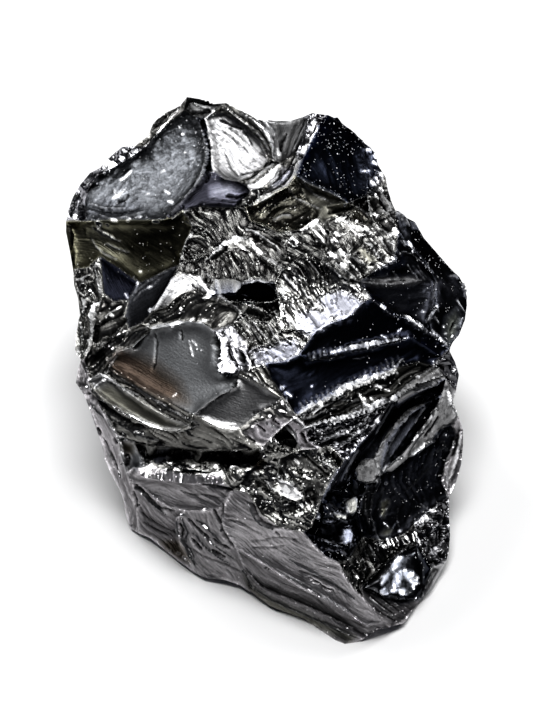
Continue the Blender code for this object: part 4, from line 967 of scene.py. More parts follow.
glint 3.5 418,400 423,399 2.5 426,400 428,397 2.5 431,393 436,397
ridge 2 411,408 401,419 390,432 382,446 378,460
rib 2 413,410 402,423 393,437 386,452 382,465
crack 3 431,406 421,419 411,434 401,448 392,461 387,467
rib 1.5 425,407 418,417 414,428
ridge 3 447,386 449,396 450,406
glint 3 448,391 449,400
ridge 2.5 435,440 426,444 417,452 409,456
glint 2 430,441 421,447 413,454
ridge 2 437,408 430,420 421,432 412,442
glint 2.5 392,462 387,466 382,471
ridge 2.5 404,456 396,460 388,466 380,474
crack 1.5 440,415 433,426 424,437
ridge 3 378,465 378,474 379,482 375,490 1.8 358,450 351,461 347,470 345,477 3 461,432 459,446 455,462
449,480
crack 2 458,434 456,446 452,458
rib 2.5 447,466 447,478 447,490
glint 2 453,446 454,448 2.5 453,367 457,371
crack 3.5 442,364 444,368 2.5 448,360 453,364
glint 2 444,434 446,436
rib 2 442,440 445,447 449,452 2 436,452 441,448 446,444
# the front: cracks, the S-shaped ridge, long grooves and the ledge above the toe
crack 2 130,481 138,487 146,494 152,502 160,508 175,512
ridge 1.8 132,486 142,492 149,501 157,508 167,515
groove 1.5 180,490 190,494 205,494 220,498
ridge 2 177,516 177,530 180,538 186,547 190,557 198,568 1.8 181,518 185,527 188,534 185,539 190,550 196,562
crack 2 180,523 183,531 182,536 2.5 191,539 197,545 202,550 1.8 188,519 194,525 203,533 210,538 2 213,508
216,514 220,521 222,531 228,541 236,549 1.8 223,503 223,512 221,518 2 214,539 220,544 229,549 2 212,550
219,554 226,558
ridge 1.8 195,519 204,526 214,535 223,545 1.5 199,530 209,541 222,551 234,559 1.5 193,533 203,545 216,556
230,564
groove 1.8 190,548 202,556 216,561 230,567 242,573
glint 2.5 203,524 208,528 2.5 202,511 206,508 2.5 183,556 187,560 1.8 177,552 180,554 1.8 169,551 171,551
2.5 210,540 212,544 2 220,529 222,532 2 180,514 184,515 2 141,493 142,495 2.5 137,503 140,506 2 131,525
132,526
crack 2.5 133,492 136,500 137,508
groove 1.8 141,512 150,520 163,527 176,533 1.8 143,522 156,530 170,536
crack 3 202,483 214,485 233,491 2 250,500 254,508 258,517 263,522 274,527 294,530
ridge 1.5 247,501 251,510 255,519 261,525 274,530
groove 1.5 246,541 260,541 272,538 287,538 300,540 1.5 252,547 268,548 284,546
crack 1.5 275,532 280,536
groove 1.8 226,519 240,522 252,530 262,535
crack 2 308,577 318,583 326,589 334,591
groove 1.8 298,570 316,576 332,584 346,592 1.8 302,584 318,594 334,606 350,616
rib 1.8 290,560 312,572 336,586 356,600 1.8 280,572 300,582 322,596 350,612
crack 1.8 264,567 270,570
ridge 2 241,568 247,577 253,588 1.8 254,588 272,600 300,612 330,626 352,636
groove 1.5 250,592 268,606 292,616 320,630
glint 2 364,633 368,635 5 241,488 245,491 2.5 248,487 249,490 3 256,489 257,495 3 261,501 268,502 273,504 2
254,499 256,499
ridge 2 283,505 290,504 298,504
glint 2 287,509 288,510 4 299,503 303,507 2 305,503 309,508 312,511 2.5 305,499 308,497 2 295,515 304,512 2
302,522 303,523 2 317,517 318,518
ridge 1.8 264,480 272,486 282,493 292,500
groove 2 258,480 268,489 280,498
# the lower right: pads and blades in the black pits, the comb and the knob
glint 2.5 325,504 328,509
rib 2 331,503 335,507 339,510 2 356,514 358,522 360,531 2 324,540 334,542 342,548 1.8 342,548 345,556
350,560 2.5 369,485 366,495 364,505 364,514 1.8 374,486 371,498 370,510
glint 2 383,522 386,525 389,528 2.5 399,530 400,532 2.5 379,540 381,545 2.5 383,541 386,546 2.5 387,539
390,545 2.5 391,541 394,546 3 396,538 399,545 3.5 404,535 409,542 2 410,533 415,540 2 414,531 418,537 3
417,541 421,545
crack 2 384,540 388,547 2 401,536 405,544
glint 2 414,526 421,520 428,514
ridge 2 418,529 425,522 430,517 2 428,513 434,508 440,502
glint 2.5 429,511 435,510
ridge 1.8 430,520 433,528 437,524 434,519
glint 2.5 447,524 448,530 2 438,548 440,552 2 430,534 431,535
ridge 2 440,520 442,530 443,540
glint 2 442,563 444,565
rib 1.8 364,545 368,554 373,564 1.8 369,543 373,552 377,561
crack 2 366,545 371,555 375,564
rib 1.8 361,556 364,565 366,573
glint 2 385,483 387,484
rib 1.5 384,487 381,498 378,510 1.5 430,466 418,480 404,492 1.5 420,504 428,509 433,514 1.5 398,508 397,518
399,528
ridge 1.8 372,593 384,602 396,611 1.8 369,598 381,608 394,617 1.8 378,592 390,600 401,608
crack 1.8 370,595 383,605 395,614 1.8 375,593 388,602 400,611 1.8 372,604 384,614 396,621
glint 2 374,608 375,609 2.5 353,577 358,579 3 415,597 416,600 3 397,598 399,600 2 406,598 407,600 4 400,590
404,594 3 410,581 419,577 2 413,584 420,583 4 408,577 413,573 2 413,585 414,589 2.5 403,571 406,569 3.5
395,562 401,557 2 393,570 397,566
ridge 2 402,552 408,547 414,544
""")

# The comb beside the knob and the crushed ridges across the slabs, as rows of bars: kind, width, the pixel it
# starts from, the step from bar to bar, how far each bar reaches, and how many there are
combs = [
    ("glint", 1.8, (376, 541), (5, -1), (3, 9), 9),
    ("rib", 1.8, (309, 352), (5.2, -1.1), (2, 9), 18),
    ("ridge", 1.6, (313, 354), (10.4, -2.2), (1, 5), 9),
    ("rib", 1.8, (300, 402), (5.4, -2.6), (3, 9), 19),
    ("ridge", 1.6, (303, 405), (8.1, -3.9), (1, 5), 13),
    ("rib", 1.8, (314, 425), (5.6, -2.5), (3, 8), 13),
    ("ridge", 1.6, (318, 427), (11.2, -5), (1, 4), 6),
]
for comb in combs:
    strokes += bars(*comb)

# What areas share: a plane has neither ribs nor chips, and a shadow has no bright facets
sharedLooks = {"plane": dict(fibre=(0.0, 20, 5), chip=(0.0, 9, 9)), "shadow": dict(rough=0.3, glint=0.0)}


def patchesOf(rows):
    # a lone number is the softness in pixels of the next area's border, then come what it shares or changes
    # and the pixels of its outline; a row that starts with # is a note
    found = []
    for word in re.sub("# .*", "", rows).split():
        key, _, value = word.partition("=")
        if word in sharedLooks:
            found[-1][1].update(sharedLooks[word])
        elif key == "tint":
            found[-1][1][key] = value
        elif value:
            numbers = pointsOf(value)[0]
            found[-1][1][key] = numbers if len(numbers) > 1 else numbers[0]
        elif "," in word:
            found[-1][2].extend(pointsOf(word))
        else:
            found.append((float(word), {}, []))
    return found


# Each area that differs from the face around it, in the same way. An area turned to the lamp (shine near 1)
# with a raised tone is a painted highlight, and an area with the shadow look is painted shade
# light streaks high on the olive wall, and painted shade on its dark right half
# the knob: bright bars of its painted reflection
# the knob: painted reflection of a lamp, a soft glow with bright streaks in it
# the knob: painted reflection of a lamp, its dark ground and bright bars
# the olive wall's dark corner, painted shade
# the olive wall's dark right part, painted shade
# the streaks of the knob's painted reflection run one way
patches = patchesOf("""
4 shine=0.9 tone=0.11 rough=0.3 fibre=0.1,20,4 chip=0.04,12,8 tint=#eceeff 300,314 312,310 328,318 334,326
    322,333 308,336 298,330
4 shine=0.9 tone=0.1 rough=0.3 fibre=0.08,20,4 chip=0.04,12,8 tint=#eceeff 328,296 340,290 354,296 364,303
    357,314 344,322 334,314 330,305
4 shine=0.9 tone=0.11 rough=0.3 fibre=0.1,20,4 chip=0.04,12,8 tint=#eceeff 251,350 266,348 282,342 296,340
    300,352 290,360 270,363 256,364
5 tone=0.5 fibre=0.15,24,4 280,300 300,300 310,325 292,332 280,325
6 tone=0.10 chip=0.05,12,8 300,255 325,260 335,285 315,285 295,270
2.5 tone=0.03 rough=0.3 glint=0.1 183,102 192,103 196,109 189,114 183,111
2.5 shadow tone=0.02 93,174 103,171 107,178 99,180
2.5 shadow tone=0.02 height=-0.3 86,192 93,183 97,186 92,191 86,196
2.5 tone=0.015 rough=0.2 glint=0.0 height=-0.5 79,205 86,205 88,213 85,221 80,222
6 tone=0.22 grit=0.6 186,150 199,150 200,160 188,165
8 tone=0.09 grit=0.4 tint=#dfe4f2 88,206 110,202 140,206 150,213 100,217 88,213
8 tone=0.17 120,155 150,148 150,165 128,172
2 shadow tone=0.01 277,160 292,160 292,164 284,165
2 shadow tone=0.02 261,167 267,161 273,160 271,164 264,168
2 plane shine=0.95 tone=0.3 rough=0.3 grit=0.1 254,187 262,180 270,172 278,164 281,165 271,178 262,186
2 tone=0.22 grit=0.5 246,183 258,174 268,166 276,163 268,170 258,180 250,185
3 tone=0.2 grit=0.5 tint=#e2e4f4 268,190 276,178 282,168 292,166 296,172 284,184
5 tone=0.3 rough=0.36 grit=0.9 chip=0.05,8,4 206,126 216,126 222,150 218,176 211,178 210,150
5 tone=0.3 grit=0.9 chip=0.06,12,4 218,122 240,124 252,134 254,144 240,138 222,132
4 tone=0.015 rough=0.4 glint=0.1 202,174 212,172 220,180 214,188 203,188
5 tone=0.2 rough=0.4 grit=0.9 tint=#dfe2f4 212,188 228,184 238,190 228,196 212,196
3 tone=0.02 rough=0.3 352,178 368,180 382,196 378,206 366,200 352,196
2.5 plane shine=0.95 tone=0.045 grit=0.5 380,172 386,178 387,190 382,188 379,180
4 tone=0.08 tint=#e8e4d4 346,206 360,208 370,218 366,224 350,220
4 tone=0.16 rough=0.36 tint=#deddd0 lines=0.2 300,178 316,188 334,194 345,200 335,209 318,204 305,192
3 tone=0.012 rough=0.3 397,220 404,222 412,228 425,244 424,252 408,246 400,232
3 plane shine=0.95 tone=0.03 grit=0.5 410,222 416,223 419,229 413,228
8 tone=0.26 rough=0.36 tint=#dcdac0 85,229 100,228 118,241 126,252 106,253 92,242
8 tone=0.02 rough=0.3 140,228 180,226 178,262 150,274 135,262
2.5 shine=0.95 tone=0.3 rough=0.3 chip=0.02,12,6 160,304 167,292 173,279 181,274 188,278 197,286 190,290
    180,296 170,304
3 tone=0.2 183,292 192,289 202,292 199,299 186,297
2.5 shadow tone=0.01 92,356 99,350 107,353 108,360 98,364 92,362
2 shadow tone=0.01 83,361 87,360 89,369 86,371
2.5 shadow tone=0.01 98,324 104,318 110,320 104,330 98,336
9 tone=0.11 tint=#ccb49e rough=0.45 112,364 122,355 140,357 158,366 178,382 186,402 165,402 135,385
3 shine=0.95 chip=0.0,9,9 tone=0.075 rough=0.3 tint=#f0eedd fibre=0.1,20,4 359,247 366,248 374,256 376,262
    369,263 362,257
3 tone=0.012 rough=0.25 glint=0.15 364,277 378,271 391,265 402,262 410,272 400,277 380,279
3 tone=0.11 rough=0.45 tint=#e4e0dc grit=0.4 358,282 372,279 392,277 412,277 424,281 408,286 386,287 370,286
2.5 plane shine=0.95 tone=0.045 rough=0.4 grit=0.2 459,319 464,316 463,324 459,331 457,326
4 tone=0.14 rough=0.4 tint=#dfe6dc grit=0.9 446,318 456,310 460,318 456,334 448,344 444,334
2.5 plane shine=0.95 tone=0.045 rough=0.35 78,360 84,364 86,374 85,384 80,384 76,374
4 tone=0.16 rough=0.4 tint=#dedccb lines=0.3 96,391 108,384 140,402 170,420 184,427 160,427 130,414 108,403
3 tone=0.06 tint=#c8bea8 121,443 132,445 133,455 124,452
2.5 tone=0.12 rough=0.4 chip=0.0,9,9 tint=#e8ecf4 132,455 142,453 143,466 136,470 131,466
3 shadow tone=0.012 146,462 152,448 172,445 200,449 204,457 182,460 160,459
2 shine=0.95 tone=0.3 rough=0.3 chip=0.02,12,6 swell=0.3,16,12 217,365 219,359 226,357 232,361 237,363
    239,369 235,374 229,377 222,375 218,371
2 plane shine=0.95 tone=0.3 rough=0.3 219,340 227,341 227,350 223,356 219,352
2 shine=0.95 tone=0.06 rough=0.4 tint=#f2ecf4 chip=0.0,9,9 244,432 254,423 270,418 290,418 283,427 275,435
    264,446 254,442
2 shine=0.95 tone=0.06 rough=0.4 tint=#f2ecf4 chip=0.0,9,9 286,424 293,420 301,424 308,432 309,439 319,447
    317,450 303,450 297,442 296,434
2 shadow tone=0.01 height=-0.6 276,436 284,430 293,438 296,444 292,450 283,447
3 shadow tone=0.012 213,449 232,448 252,453 259,453 249,463 239,470 228,468 220,460
2 tone=0.07 tint=#c4b4a0 251,464 260,457 266,465 258,471
2 shine=0.95 chip=0.0,9,9 tone=0.03 rough=0.4 fibre=0.06,40,3 384,404 395,395 404,387 416,379 427,370
    437,367 444,376 430,382 414,390 398,399
2 plane shine=0.95 tone=0.075 rough=0.35 tint=#e8e6d4 416,398 423,396 425,403 417,404
2 shine=0.9 tone=0.012 rough=0.4 fibre=0.05,40,3 417,404 403,411 392,425 382,440 377,455 379,470 385,460
    392,446 402,432 414,416
2 plane shine=0.95 tone=0.045 rough=0.4 grit=0.5 437,396 445,386 450,395 453,408 457,416 452,425 443,426
    437,436 426,442 414,454 407,456 414,444 424,431 433,415
2 shine=0.95 tone=0.045 rough=0.45 chip=0.03,12,6 357,479 357,470 362,462 370,457 377,456 378,474 374,481
    363,481
2 plane shine=0.95 tone=0.045 rough=0.4 342,481 345,474 348,476 347,481
3 shadow tone=0.012 445,427 454,425 458,430 456,441 449,441
2 shine=0.95 chip=0.0,9,9 tone=0.06 rough=0.4 fibre=0.08,60,3 459,430 463,433 462,446 458,462 452,480
    446,490 445,470 451,456 456,442
4 tone=0.014 rough=0.25 glint=0.2 392,408 386,418 376,436 362,455 356,465 374,458 380,440 390,424 400,410
3 tone=0.06 rough=0.4 tint=#d8ccc0 160,541 178,541 187,553 190,562 180,559 166,549
5 tone=0.07 141,508 158,521 175,530 178,540 152,534 142,522
3 tone=0.045 rough=0.4 244,571 262,580 290,591 320,603 346,618 352,628 330,621 305,608 272,596 256,587
3 tone=0.10 rough=0.42 tint=#e6e4d8 244,574 256,589 274,600 304,612 334,627 356,636 350,643 310,624 268,608
    248,588
2 shadow tone=0.012 height=-0.5 303,490 312,488 318,495 315,505 307,501
2 plane shine=0.95 tone=0.12 rough=0.4 272,483 285,484 293,488 299,493 303,499 296,500 287,497 280,492
2 plane shine=0.95 tone=0.06 rough=0.4 318,486 330,482 328,490 320,489
2 plane shine=0.95 tone=0.045 rough=0.4 height=0.3 344,507 350,501 357,497 358,507 354,514 346,513
2 plane shine=0.95 tone=0.045 rough=0.4 height=0.3 332,514 334,511 346,515 345,519 338,517
2 plane shine=0.95 tone=0.03 rough=0.4 height=0.2 322,519 330,519 336,521 332,525 324,523
2 plane shine=0.95 tone=0.03 rough=0.4 height=0.3 345,530 350,529 353,535 351,543 345,544
2.5 shadow tone=0.01 height=-0.5 322,526 342,522 344,534 343,546 330,541 318,538
3 shadow tone=0.01 338,486 356,486 362,496 358,500 344,500 332,505
3 shadow tone=0.01 355,520 362,516 380,530 376,540 362,540 354,560 350,556
3 shadow tone=0.01 372,575 392,552 402,549 392,560 380,576 374,590 364,590
2 tone=0.14 rough=0.45 tint=#dcdcc8 grit=0.5 381,502 388,499 390,501 387,509 384,518 380,515
3 tone=0.10 rough=0.45 tint=#dcdcc8 380,533 388,527 393,531 386,537
2.5 tone=0.02 rough=0.2 glint=0.1 tint=#d8deee 379,591 383,577 391,566 397,557 405,550 416,555 425,562
    429,575 425,590 419,600 402,604 386,599
1.5 plane shine=0.95 tone=0.3 rough=0.3 390,593 392,584 395,574 401,570 401,579 397,587 395,593
1.5 plane shine=0.95 tone=0.3 rough=0.3 380,585 383,577 388,573 390,575 386,581 382,586
1.5 plane shine=0.95 tone=0.3 rough=0.3 379,591 385,588 389,594 387,597 381,594
2 shine=0.95 chip=0.0,9,9 tone=0.03 rough=0.4 fibre=0.05,60,3 434,568 438,570 432,580 427,590 423,599
    420,597 424,588 428,578
4 tone=0.03 rough=0.3 424,540 436,536 448,545 447,558 434,564 428,552
# the navy face's left strip and right end
2 tone=0.02 rough=0.3 shine=0.0 tint=#b4c4f4 303,170 300,164 328,116 338,112 336,125 312,166
5 tone=0.03 rough=0.3 shine=0.0 glint=0.8 fibre=0.05,20,4 tint=#c8d4f8 362,135 376,152 380,176 374,192
    362,190 356,160
# the smooth khaki plane under the navy face
2.5 plane tone=0.16 rough=0.45 shine=0.1 swell=0.02,30,10 glint=0.1 lines=0.6 tint=#e4e2d2 297,179 318,187
    334,196 352,206 342,213 322,222 316,210 304,194
# broken pieces in the ledge pit
2 plane shine=0.9 tone=0.2 rough=0.3 142,470 150,465 162,466 172,461 178,471 166,475 147,475
2 plane shine=0.9 tone=0.06 rough=0.35 185,454 197,455 206,462 198,466 188,461
2 shine=0.9 tone=0.2 rough=0.3 chip=0.1,8,5 191,466 208,470 226,474 231,481 198,480 189,474
2 shine=0.8 tone=0.1 rough=0.3 chip=0.1,8,5 210,455 220,461 230,474 222,474 213,464
3 plane shine=0.5 tone=0.1 rough=0.4 262,449 276,450 292,455 315,457 327,472 306,471 285,465
3 plane shine=0.5 tone=0.08 rough=0.4 300,478 318,476 330,488 322,500 308,494
2 plane shine=0.9 tone=0.25 rough=0.4 grit=0.1 270,486 284,484 296,490 302,499 294,502 280,496
# the knob: a soft glow with bright streaks in it
7 plane shine=0.9 tone=0.009 rough=0.35 380,590 387,569 398,555 409,557 416,572 422,586 414,598 396,596
2 plane shine=0.95 tone=0.12 rough=0.3 391,571 393,562 398,555 403,556 400,566 396,572
1.5 plane shine=0.95 tone=0.2 rough=0.3 402,571 412,570 417,576 420,583 413,584 405,578
1.5 plane shine=0.95 tone=0.3 rough=0.3 399,589 404,588 406,594 401,598
# silver facets above the knob
3 shine=0.8 tone=0.09 rough=0.3 fibre=0.12,16,4 chip=0.05,8,5 416,522 425,512 434,510 436,517 427,525
    420,530
2 shine=0.8 tone=0.12 rough=0.3 430,548 438,545 441,552 434,557
# grey plates among the shards
2 plane shine=0.9 tone=0.2 rough=0.4 tint=#f0f0ea 346,500 355,497 357,510 350,516 345,509
2 plane shine=0.9 tone=0.2 rough=0.4 tint=#f0f0ea 333,513 348,515 346,520 334,518
2 plane shine=0.9 tone=0.12 rough=0.4 345,530 350,529 353,535 351,543 345,544
# the pad at the end of the grey tongue, and the lens beside it
2 plane shine=0.7 tone=0.06 rough=0.42 lines=0.5 357,480 356,471 360,463 367,458 375,455 379,463 378,473
    373,481 364,482
3 plane shine=0.5 tone=0.06 rough=0.42 381,466 385,448 395,432 410,415 424,407 419,415 405,429 397,443
    390,457 384,470
# the olive wall's dark corner
9 tone=0.02 rough=0.4 128,248 172,238 172,262 140,278 122,264
# the gable's grey foot and streaked right end
3 tone=0.05 153,312 160,300 168,292 175,298 182,301 172,306 160,313
3 shine=0.6 tone=0.05 rough=0.3 fibre=0.15,20,3.5 197,281 208,285 215,292 206,297 197,291
# brown film on the leaf
3 tone=0.13 lines=0.9 tint=#d2b6a2 114,355 122,352 140,362 154,370 158,379 172,387 180,395 170,397 158,394
    142,387 124,377 110,367
# the hollow's streaked left end, its bright rim and the pale ledge under it
3 height=0.9 shine=0.7 tone=0.05 rough=0.3 fibre=0.12,20,4 lines=1.5 213,284 226,280 238,283 240,290 236,297
    220,300 213,296
2 plane height=0.6 shine=0.8 tone=0.05 rough=0.35 240,304 252,303 262,309 260,314 248,313 241,309
# fine hatching beside the khaki plane, dark ground under it
4 tone=0.03 fibre=0.05,16,3 chip=0.03,9,4 lines=1.2 262,214 280,200 300,196 316,212 308,226 284,230 268,226
# the silver planes against the navy facet
2 plane shine=0.85 tone=0.16 rough=0.3 lines=0.7 tint=#eef0ff 318,300 330,293 344,297 358,306 350,314
    338,320 326,314
2 plane shine=0.85 tone=0.18 rough=0.3 lines=0.7 tint=#eef0ff 306,316 314,311 328,316 330,322 320,328
    309,326
# bright cap over the dome, silver wedge to its right
3 shine=0.8 tone=0.12 rough=0.3 fibre=0.1,24,4 212,254 224,243 240,238 252,242 248,248 230,250 216,258
2 plane shine=0.85 tone=0.2 rough=0.3 340,223 352,223 368,228 376,231 372,235 356,232 344,229
# crushed ridges of the lower slab
3 shine=0.7 tone=0.07 rough=0.3 chip=0.2,7,5 glint=1.0 296,412 316,398 340,386 366,374 392,368 396,372
    370,384 344,396 320,408 304,418
3 shine=0.7 tone=0.06 rough=0.3 chip=0.2,7,5 glint=1.0 312,430 334,420 360,408 386,398 388,403 362,414
    338,427 318,437
# the slab's tip stays dark
4 tone=0.008 shine=0.0 rough=0.35 266,372 286,366 306,372 306,392 292,404 280,396
# broken glass along the foot of the ledge pit
1.5 plane shine=0.85 tone=0.12 rough=0.3 150,472 160,466 170,467 168,474 156,477
1.5 plane shine=0.9 tone=0.3 rough=0.3 172,476 178,466 184,468 181,477
1.5 plane shine=0.9 tone=0.3 rough=0.3 193,470 200,465 214,472 224,480 212,480
1.5 plane shine=0.8 tone=0.1 rough=0.3 204,456 214,458 222,466 214,466
1.5 plane shine=0.8 tone=0.14 rough=0.3 236,470 250,466 262,472 256,478 240,477
# the grey tongue's pad, the light edge of the lens above it
1.5 plane height=0.3 shine=0.85 tone=0.055 rough=0.42 356,480 356,470 361,461 369,455 377,448 379,460
    378,472 374,481 364,482
1.5 plane height=0.2 shine=0.85 tone=0.05 rough=0.42 376,474 376,462 381,447 390,433 403,417 414,405 422,402
    410,414 398,430 389,444 383,460 380,474
# the knob's streaks run one way
2 shine=0.9 tone=0.008 rough=0.35 399,588 402,580 406,579 409,584 413,594 407,598 406,589
1.5 shine=0.9 tone=0.012 rough=0.35 385,590 387,581 391,577 393,578 390,590
# the ledge's broken foot stands out of the pit
6 height=0.9 138,474 148,460 172,456 200,457 226,462 242,474 233,482 190,481 150,478
3 plane shine=0.7 tone=0.03 rough=0.4 tint=#dfe4ff 150,460 158,450 168,449 172,458 162,464
# the lens above the grey tongue
2 shine=0.85 tone=0.026 rough=0.42 fibre=0.03,40,4 chip=0.0,9,9 lines=0.9 377,470 376,457 380,443 386,431
    394,421 404,412 416,405 432,400 430,406 420,417 410,431 400,445 391,458 384,470
3 shine=0.85 tone=0.014 rough=0.42 chip=0.0,9,9 356,470 361,459 369,447 377,437 381,440 378,450 376,460
    366,462
2 shine=0.95 tone=0.045 rough=0.42 384,461 386,456 392,444 402,429 414,413 424,405 428,405 418,418 408,432
    398,446 390,458
1.5 tone=0.008 shine=0.0 rough=0.4 glint=0.0 370,432 377,420 386,405 394,398 397,401 389,411 381,424 374,436
    360,452 356,450
1.5 plane shine=0.95 tone=0.3 rough=0.3 390,593 393,582 396,573 401,570 402,578 398,587 395,593
1.5 plane shine=0.95 tone=0.2 rough=0.3 379,591 384,588 389,593 387,597 381,594
2 tone=0.006 shine=0.0 rough=0.4 glint=0.0 386,471 393,460 402,448 412,433 422,419 432,406 438,402 432,416
    424,428 413,440 402,454
# light streaks high on the olive wall, its dark right half
12 tone=0.02 rough=0.4 116,236 172,220 174,262 140,281 120,262
6 tone=0.13 lines=1.6 76,226 90,221 104,234 114,250 100,254 82,244
""")

# The unseen faces take these kinds in turn: how each broke, and what differs from its kind. unseenTurn: how
# far the grain turns from one face to the next, in degrees.
unseenLooks = [
    ("black", dict(tone=0.04)),
    ("layered", dict(tone=0.06)),
    ("flow", dict(tone=0.07)),
    ("hackly", dict(tone=0.05, fibre=(0.14, 44, 4.5), chip=(0.05, 16, 6), lines=1.0)),
    ("black", dict(tone=0.03)),
    ("mirror", dict(tone=0.05)),
    ("satin", dict(tone=0.06, rough=0.34, lines=0.8, grit=0.7)),
]
unseenTurn = 35


def linear(hexColour):
    # a hex colour as linear numbers
    parts = [int(hexColour[k : k + 2], 16) / 255 for k in (1, 3, 5)]
    return np.array([c / 12.92 if c <= 0.04045 else ((c + 0.055) / 1.055) ** 2.4 for c in parts])


def settingsOf(breaks):
    # one column of numbers per setting, one row per face
    looks = []
    for kind, angle, changes in breaks:
        looks.append(plainLook | breakKinds[kind] | dict(angle=math.radians(angle)) | changes)
    columns = {key: np.array([look[key] for look in looks], float) for key in (
        "rough", "tone", "chip", "swell", "fibre", "grit", "lines", "glint", "shine", "crest", "angle")}
    columns["tint"] = np.array([linear(look["tint"]) for look in looks])
    return columns


def vertexNormals(points, triangles):
    corners = points[triangles]
    turned = np.cross(corners[:, 1] - corners[:, 0], corners[:, 2] - corners[:, 0])
    normals = np.zeros_like(points)
    for k in range(3):
        np.add.at(normals, triangles[:, k], turned)
    return normals / np.maximum(np.linalg.norm(normals, axis=1), 1e-12)[:, None]


def swells(spots, fromRim):
    # broad unevenness of the unseen side, fading out at the rim and at the resting face
    values = skinValues
    fade = np.clip(np.minimum(fromRim, spots[:, 2]) / values["swellFade"], 0, 1)
    lumps = np.array([noise.noise(Vector(p) / values["swellLength"]) for p in spots])
    return lumps * values["swell"] * fade


def flatFields(points, owner, count):
    # flat coordinates on each unseen face, in pixels' worth of length, and far apart from face to face
    values = skinValues
    field = np.zeros((len(points), 2))
    ripples = np.zeros(len(points))
    for number in range(count):
        rows = np.nonzero(owner == number)[0]
        if len(rows) < 3:
            continue
        centred = points[rows] - points[rows].mean(0)
        axes = np.linalg.svd(centred.T @ centred)[0][:, :2]
        flat = centred @ axes / pixel
        field[rows] = flat + values["fieldStep"] * (number + 1)
        if number % values["rippledEvery"] == 0:
            start = flat[np.argmax(flat @ (math.cos(number), math.sin(number)))]
            away = np.linalg.norm(flat - start, axis=1)
            bend = 2 * smoothNoise(field[rows] / values["rippleBend"], seeds["ripple"])
            waves = np.sin(away * 2 * math.pi / values["rippleLength"] + bend)
            ripples[rows] = waves * values["ripple"] * np.exp(-away / values["rippleReach"])
    return field, ripples


def joined(rim, pixels, otherPixels):
    # where each point of the unseen side lies in the list of all points, and which of them are new
    known = {(round(x, 3), round(y, 3)): i for i, (x, y) in enumerate(pixels)}
    onRim = edgeDistances(rim, otherPixels).min(1) < skinValues["onLine"]
    index = np.zeros(len(otherPixels), int)
    fresh = []
    for i, (x, y) in enumerate(otherPixels):
        key = (round(x, 3), round(y, 3))
        if onRim[i] and key in known:
            index[i] = known[key]
        else:
            index[i] = len(pixels) + len(fresh)
            fresh.append(i)
    return index, fresh


def stoneArrays():
    # points in mm about the aimed point, their pixels, flat fields and ripples, the triangles, the settings
    # per point, how far each point is from its face's border, and which points the photograph shows
    net = netPoints()
    rim = np.array([net[f"rim{i}"][:2] for i in range(len(rimPoints))])
    unseenBreaks = []
    for k in range(len(unseenFaces)):
        kind, changes = unseenLooks[k % len(unseenLooks)]
        unseenBreaks.append((kind, unseenTurn * k % 180, changes))
    seenSettings = settingsOf([face[2:] for face in seenFaces.values()])
    unseenSettings = settingsOf(unseenBreaks)
    spacing = skinValues["seenSpacing"]
    pixels, heights, owner, border, triangles = skin(seenFaces, net, spacing, spacing, -1)
    lowPixels, lowHeights, lowOwner, lowBorder, lowTriangles = skin(
        unseenFaces, net, skinValues["unseenSpacing"], spacing, 1
    )
    index, fresh = joined(rim, pixels, lowPixels)
    lowPixels, lowOwner = lowPixels[fresh], lowOwner[fresh]
    spots = places(lowPixels, lowHeights[fresh])
    lowHeights = lowHeights[fresh] + swells(spots, edgeDistances(rim, lowPixels).min(1) * pixel)
    spots = places(lowPixels, np.maximum(lowHeights, 0))
    flat, ripples = flatFields(spots, lowOwner, len(unseenFaces))
    points = np.concatenate([places(pixels, heights), spots])
    field = np.concatenate([pixels, flat])
    ripples = np.concatenate([np.zeros(len(pixels)), ripples])
    settings = {
        key: np.concatenate([seenSettings[key][owner], unseenSettings[key][lowOwner]]) for key in seenSettings
    }
    seen = np.arange(len(points)) < len(pixels)
    border = np.concatenate([border, lowBorder[fresh]])
    pixels = np.concatenate([pixels, lowPixels])
    triangles = np.concatenate([triangles[:, ::-1], index[lowTriangles]])
    return points, pixels, field, ripples, triangles, settings, border, seen


points, pixels, field, ripples, triangles, settings, border, seen = stoneArrays()
print("skin:", len(points), "points,", len(triangles), "triangles")


def strokeWeights(line, width, pixels):
    # how strongly a drawn line covers each point: its rows, and 1 on the line fading to 0 beside it
    values = markValues
    line = np.array(line, float)
    reach = width * values["strokeReach"]
    rows = np.nonzero(((pixels > line.min(0) - reach) & (pixels < line.max(0) + reach)).all(1) & seen)[0]
    best = np.full(len(rows), 1e9)
    taper = np.ones(len(rows))
    total = len(line) - 1
    for k, (a, b) in enumerate(zip(line, line[1:])):
        run = b - a
        share = np.clip(((pixels[rows] - a) @ run) / (run @ run), 0, 1)
        gap = np.linalg.norm(pixels[rows] - (a + share[:, None] * run), axis=1)
        nearer = gap < best
        best[nearer] = gap[nearer]
        place = (k + share[nearer]) / total
        taper[nearer] = np.clip(np.minimum(place, 1 - place) * values["taper"] + values["tip"], 0, 1)
    ragged = 1 + values["ragged"] * smoothNoise(pixels[rows] / values["raggedLength"], seeds["stroke"])
    return rows, np.exp(-((best / (width * values["strokeHalf"] * taper * ragged)) ** 2))


def towards(values, rows, target, weight):
    values[rows] += (target - values[rows]) * weight


def drawStrokes(pixels, settings, lift):
    values = markValues
    for kind, width, line in strokes:
        look = strokeKinds[kind]
        rows, weight = strokeWeights(line, width, pixels)
        lift[rows] += look["height"] * weight * min(width / values["fullWidth"], values["mostLift"])
        for key in ("tone", "rough", "glint", "shine"):
            if key in look:
                towards(settings[key], rows, look[key], weight * look["cover"])
        if "tint" in look:
            towards(settings["tint"], rows, linear(look["tint"]), weight[:, None] * values["tintCover"])


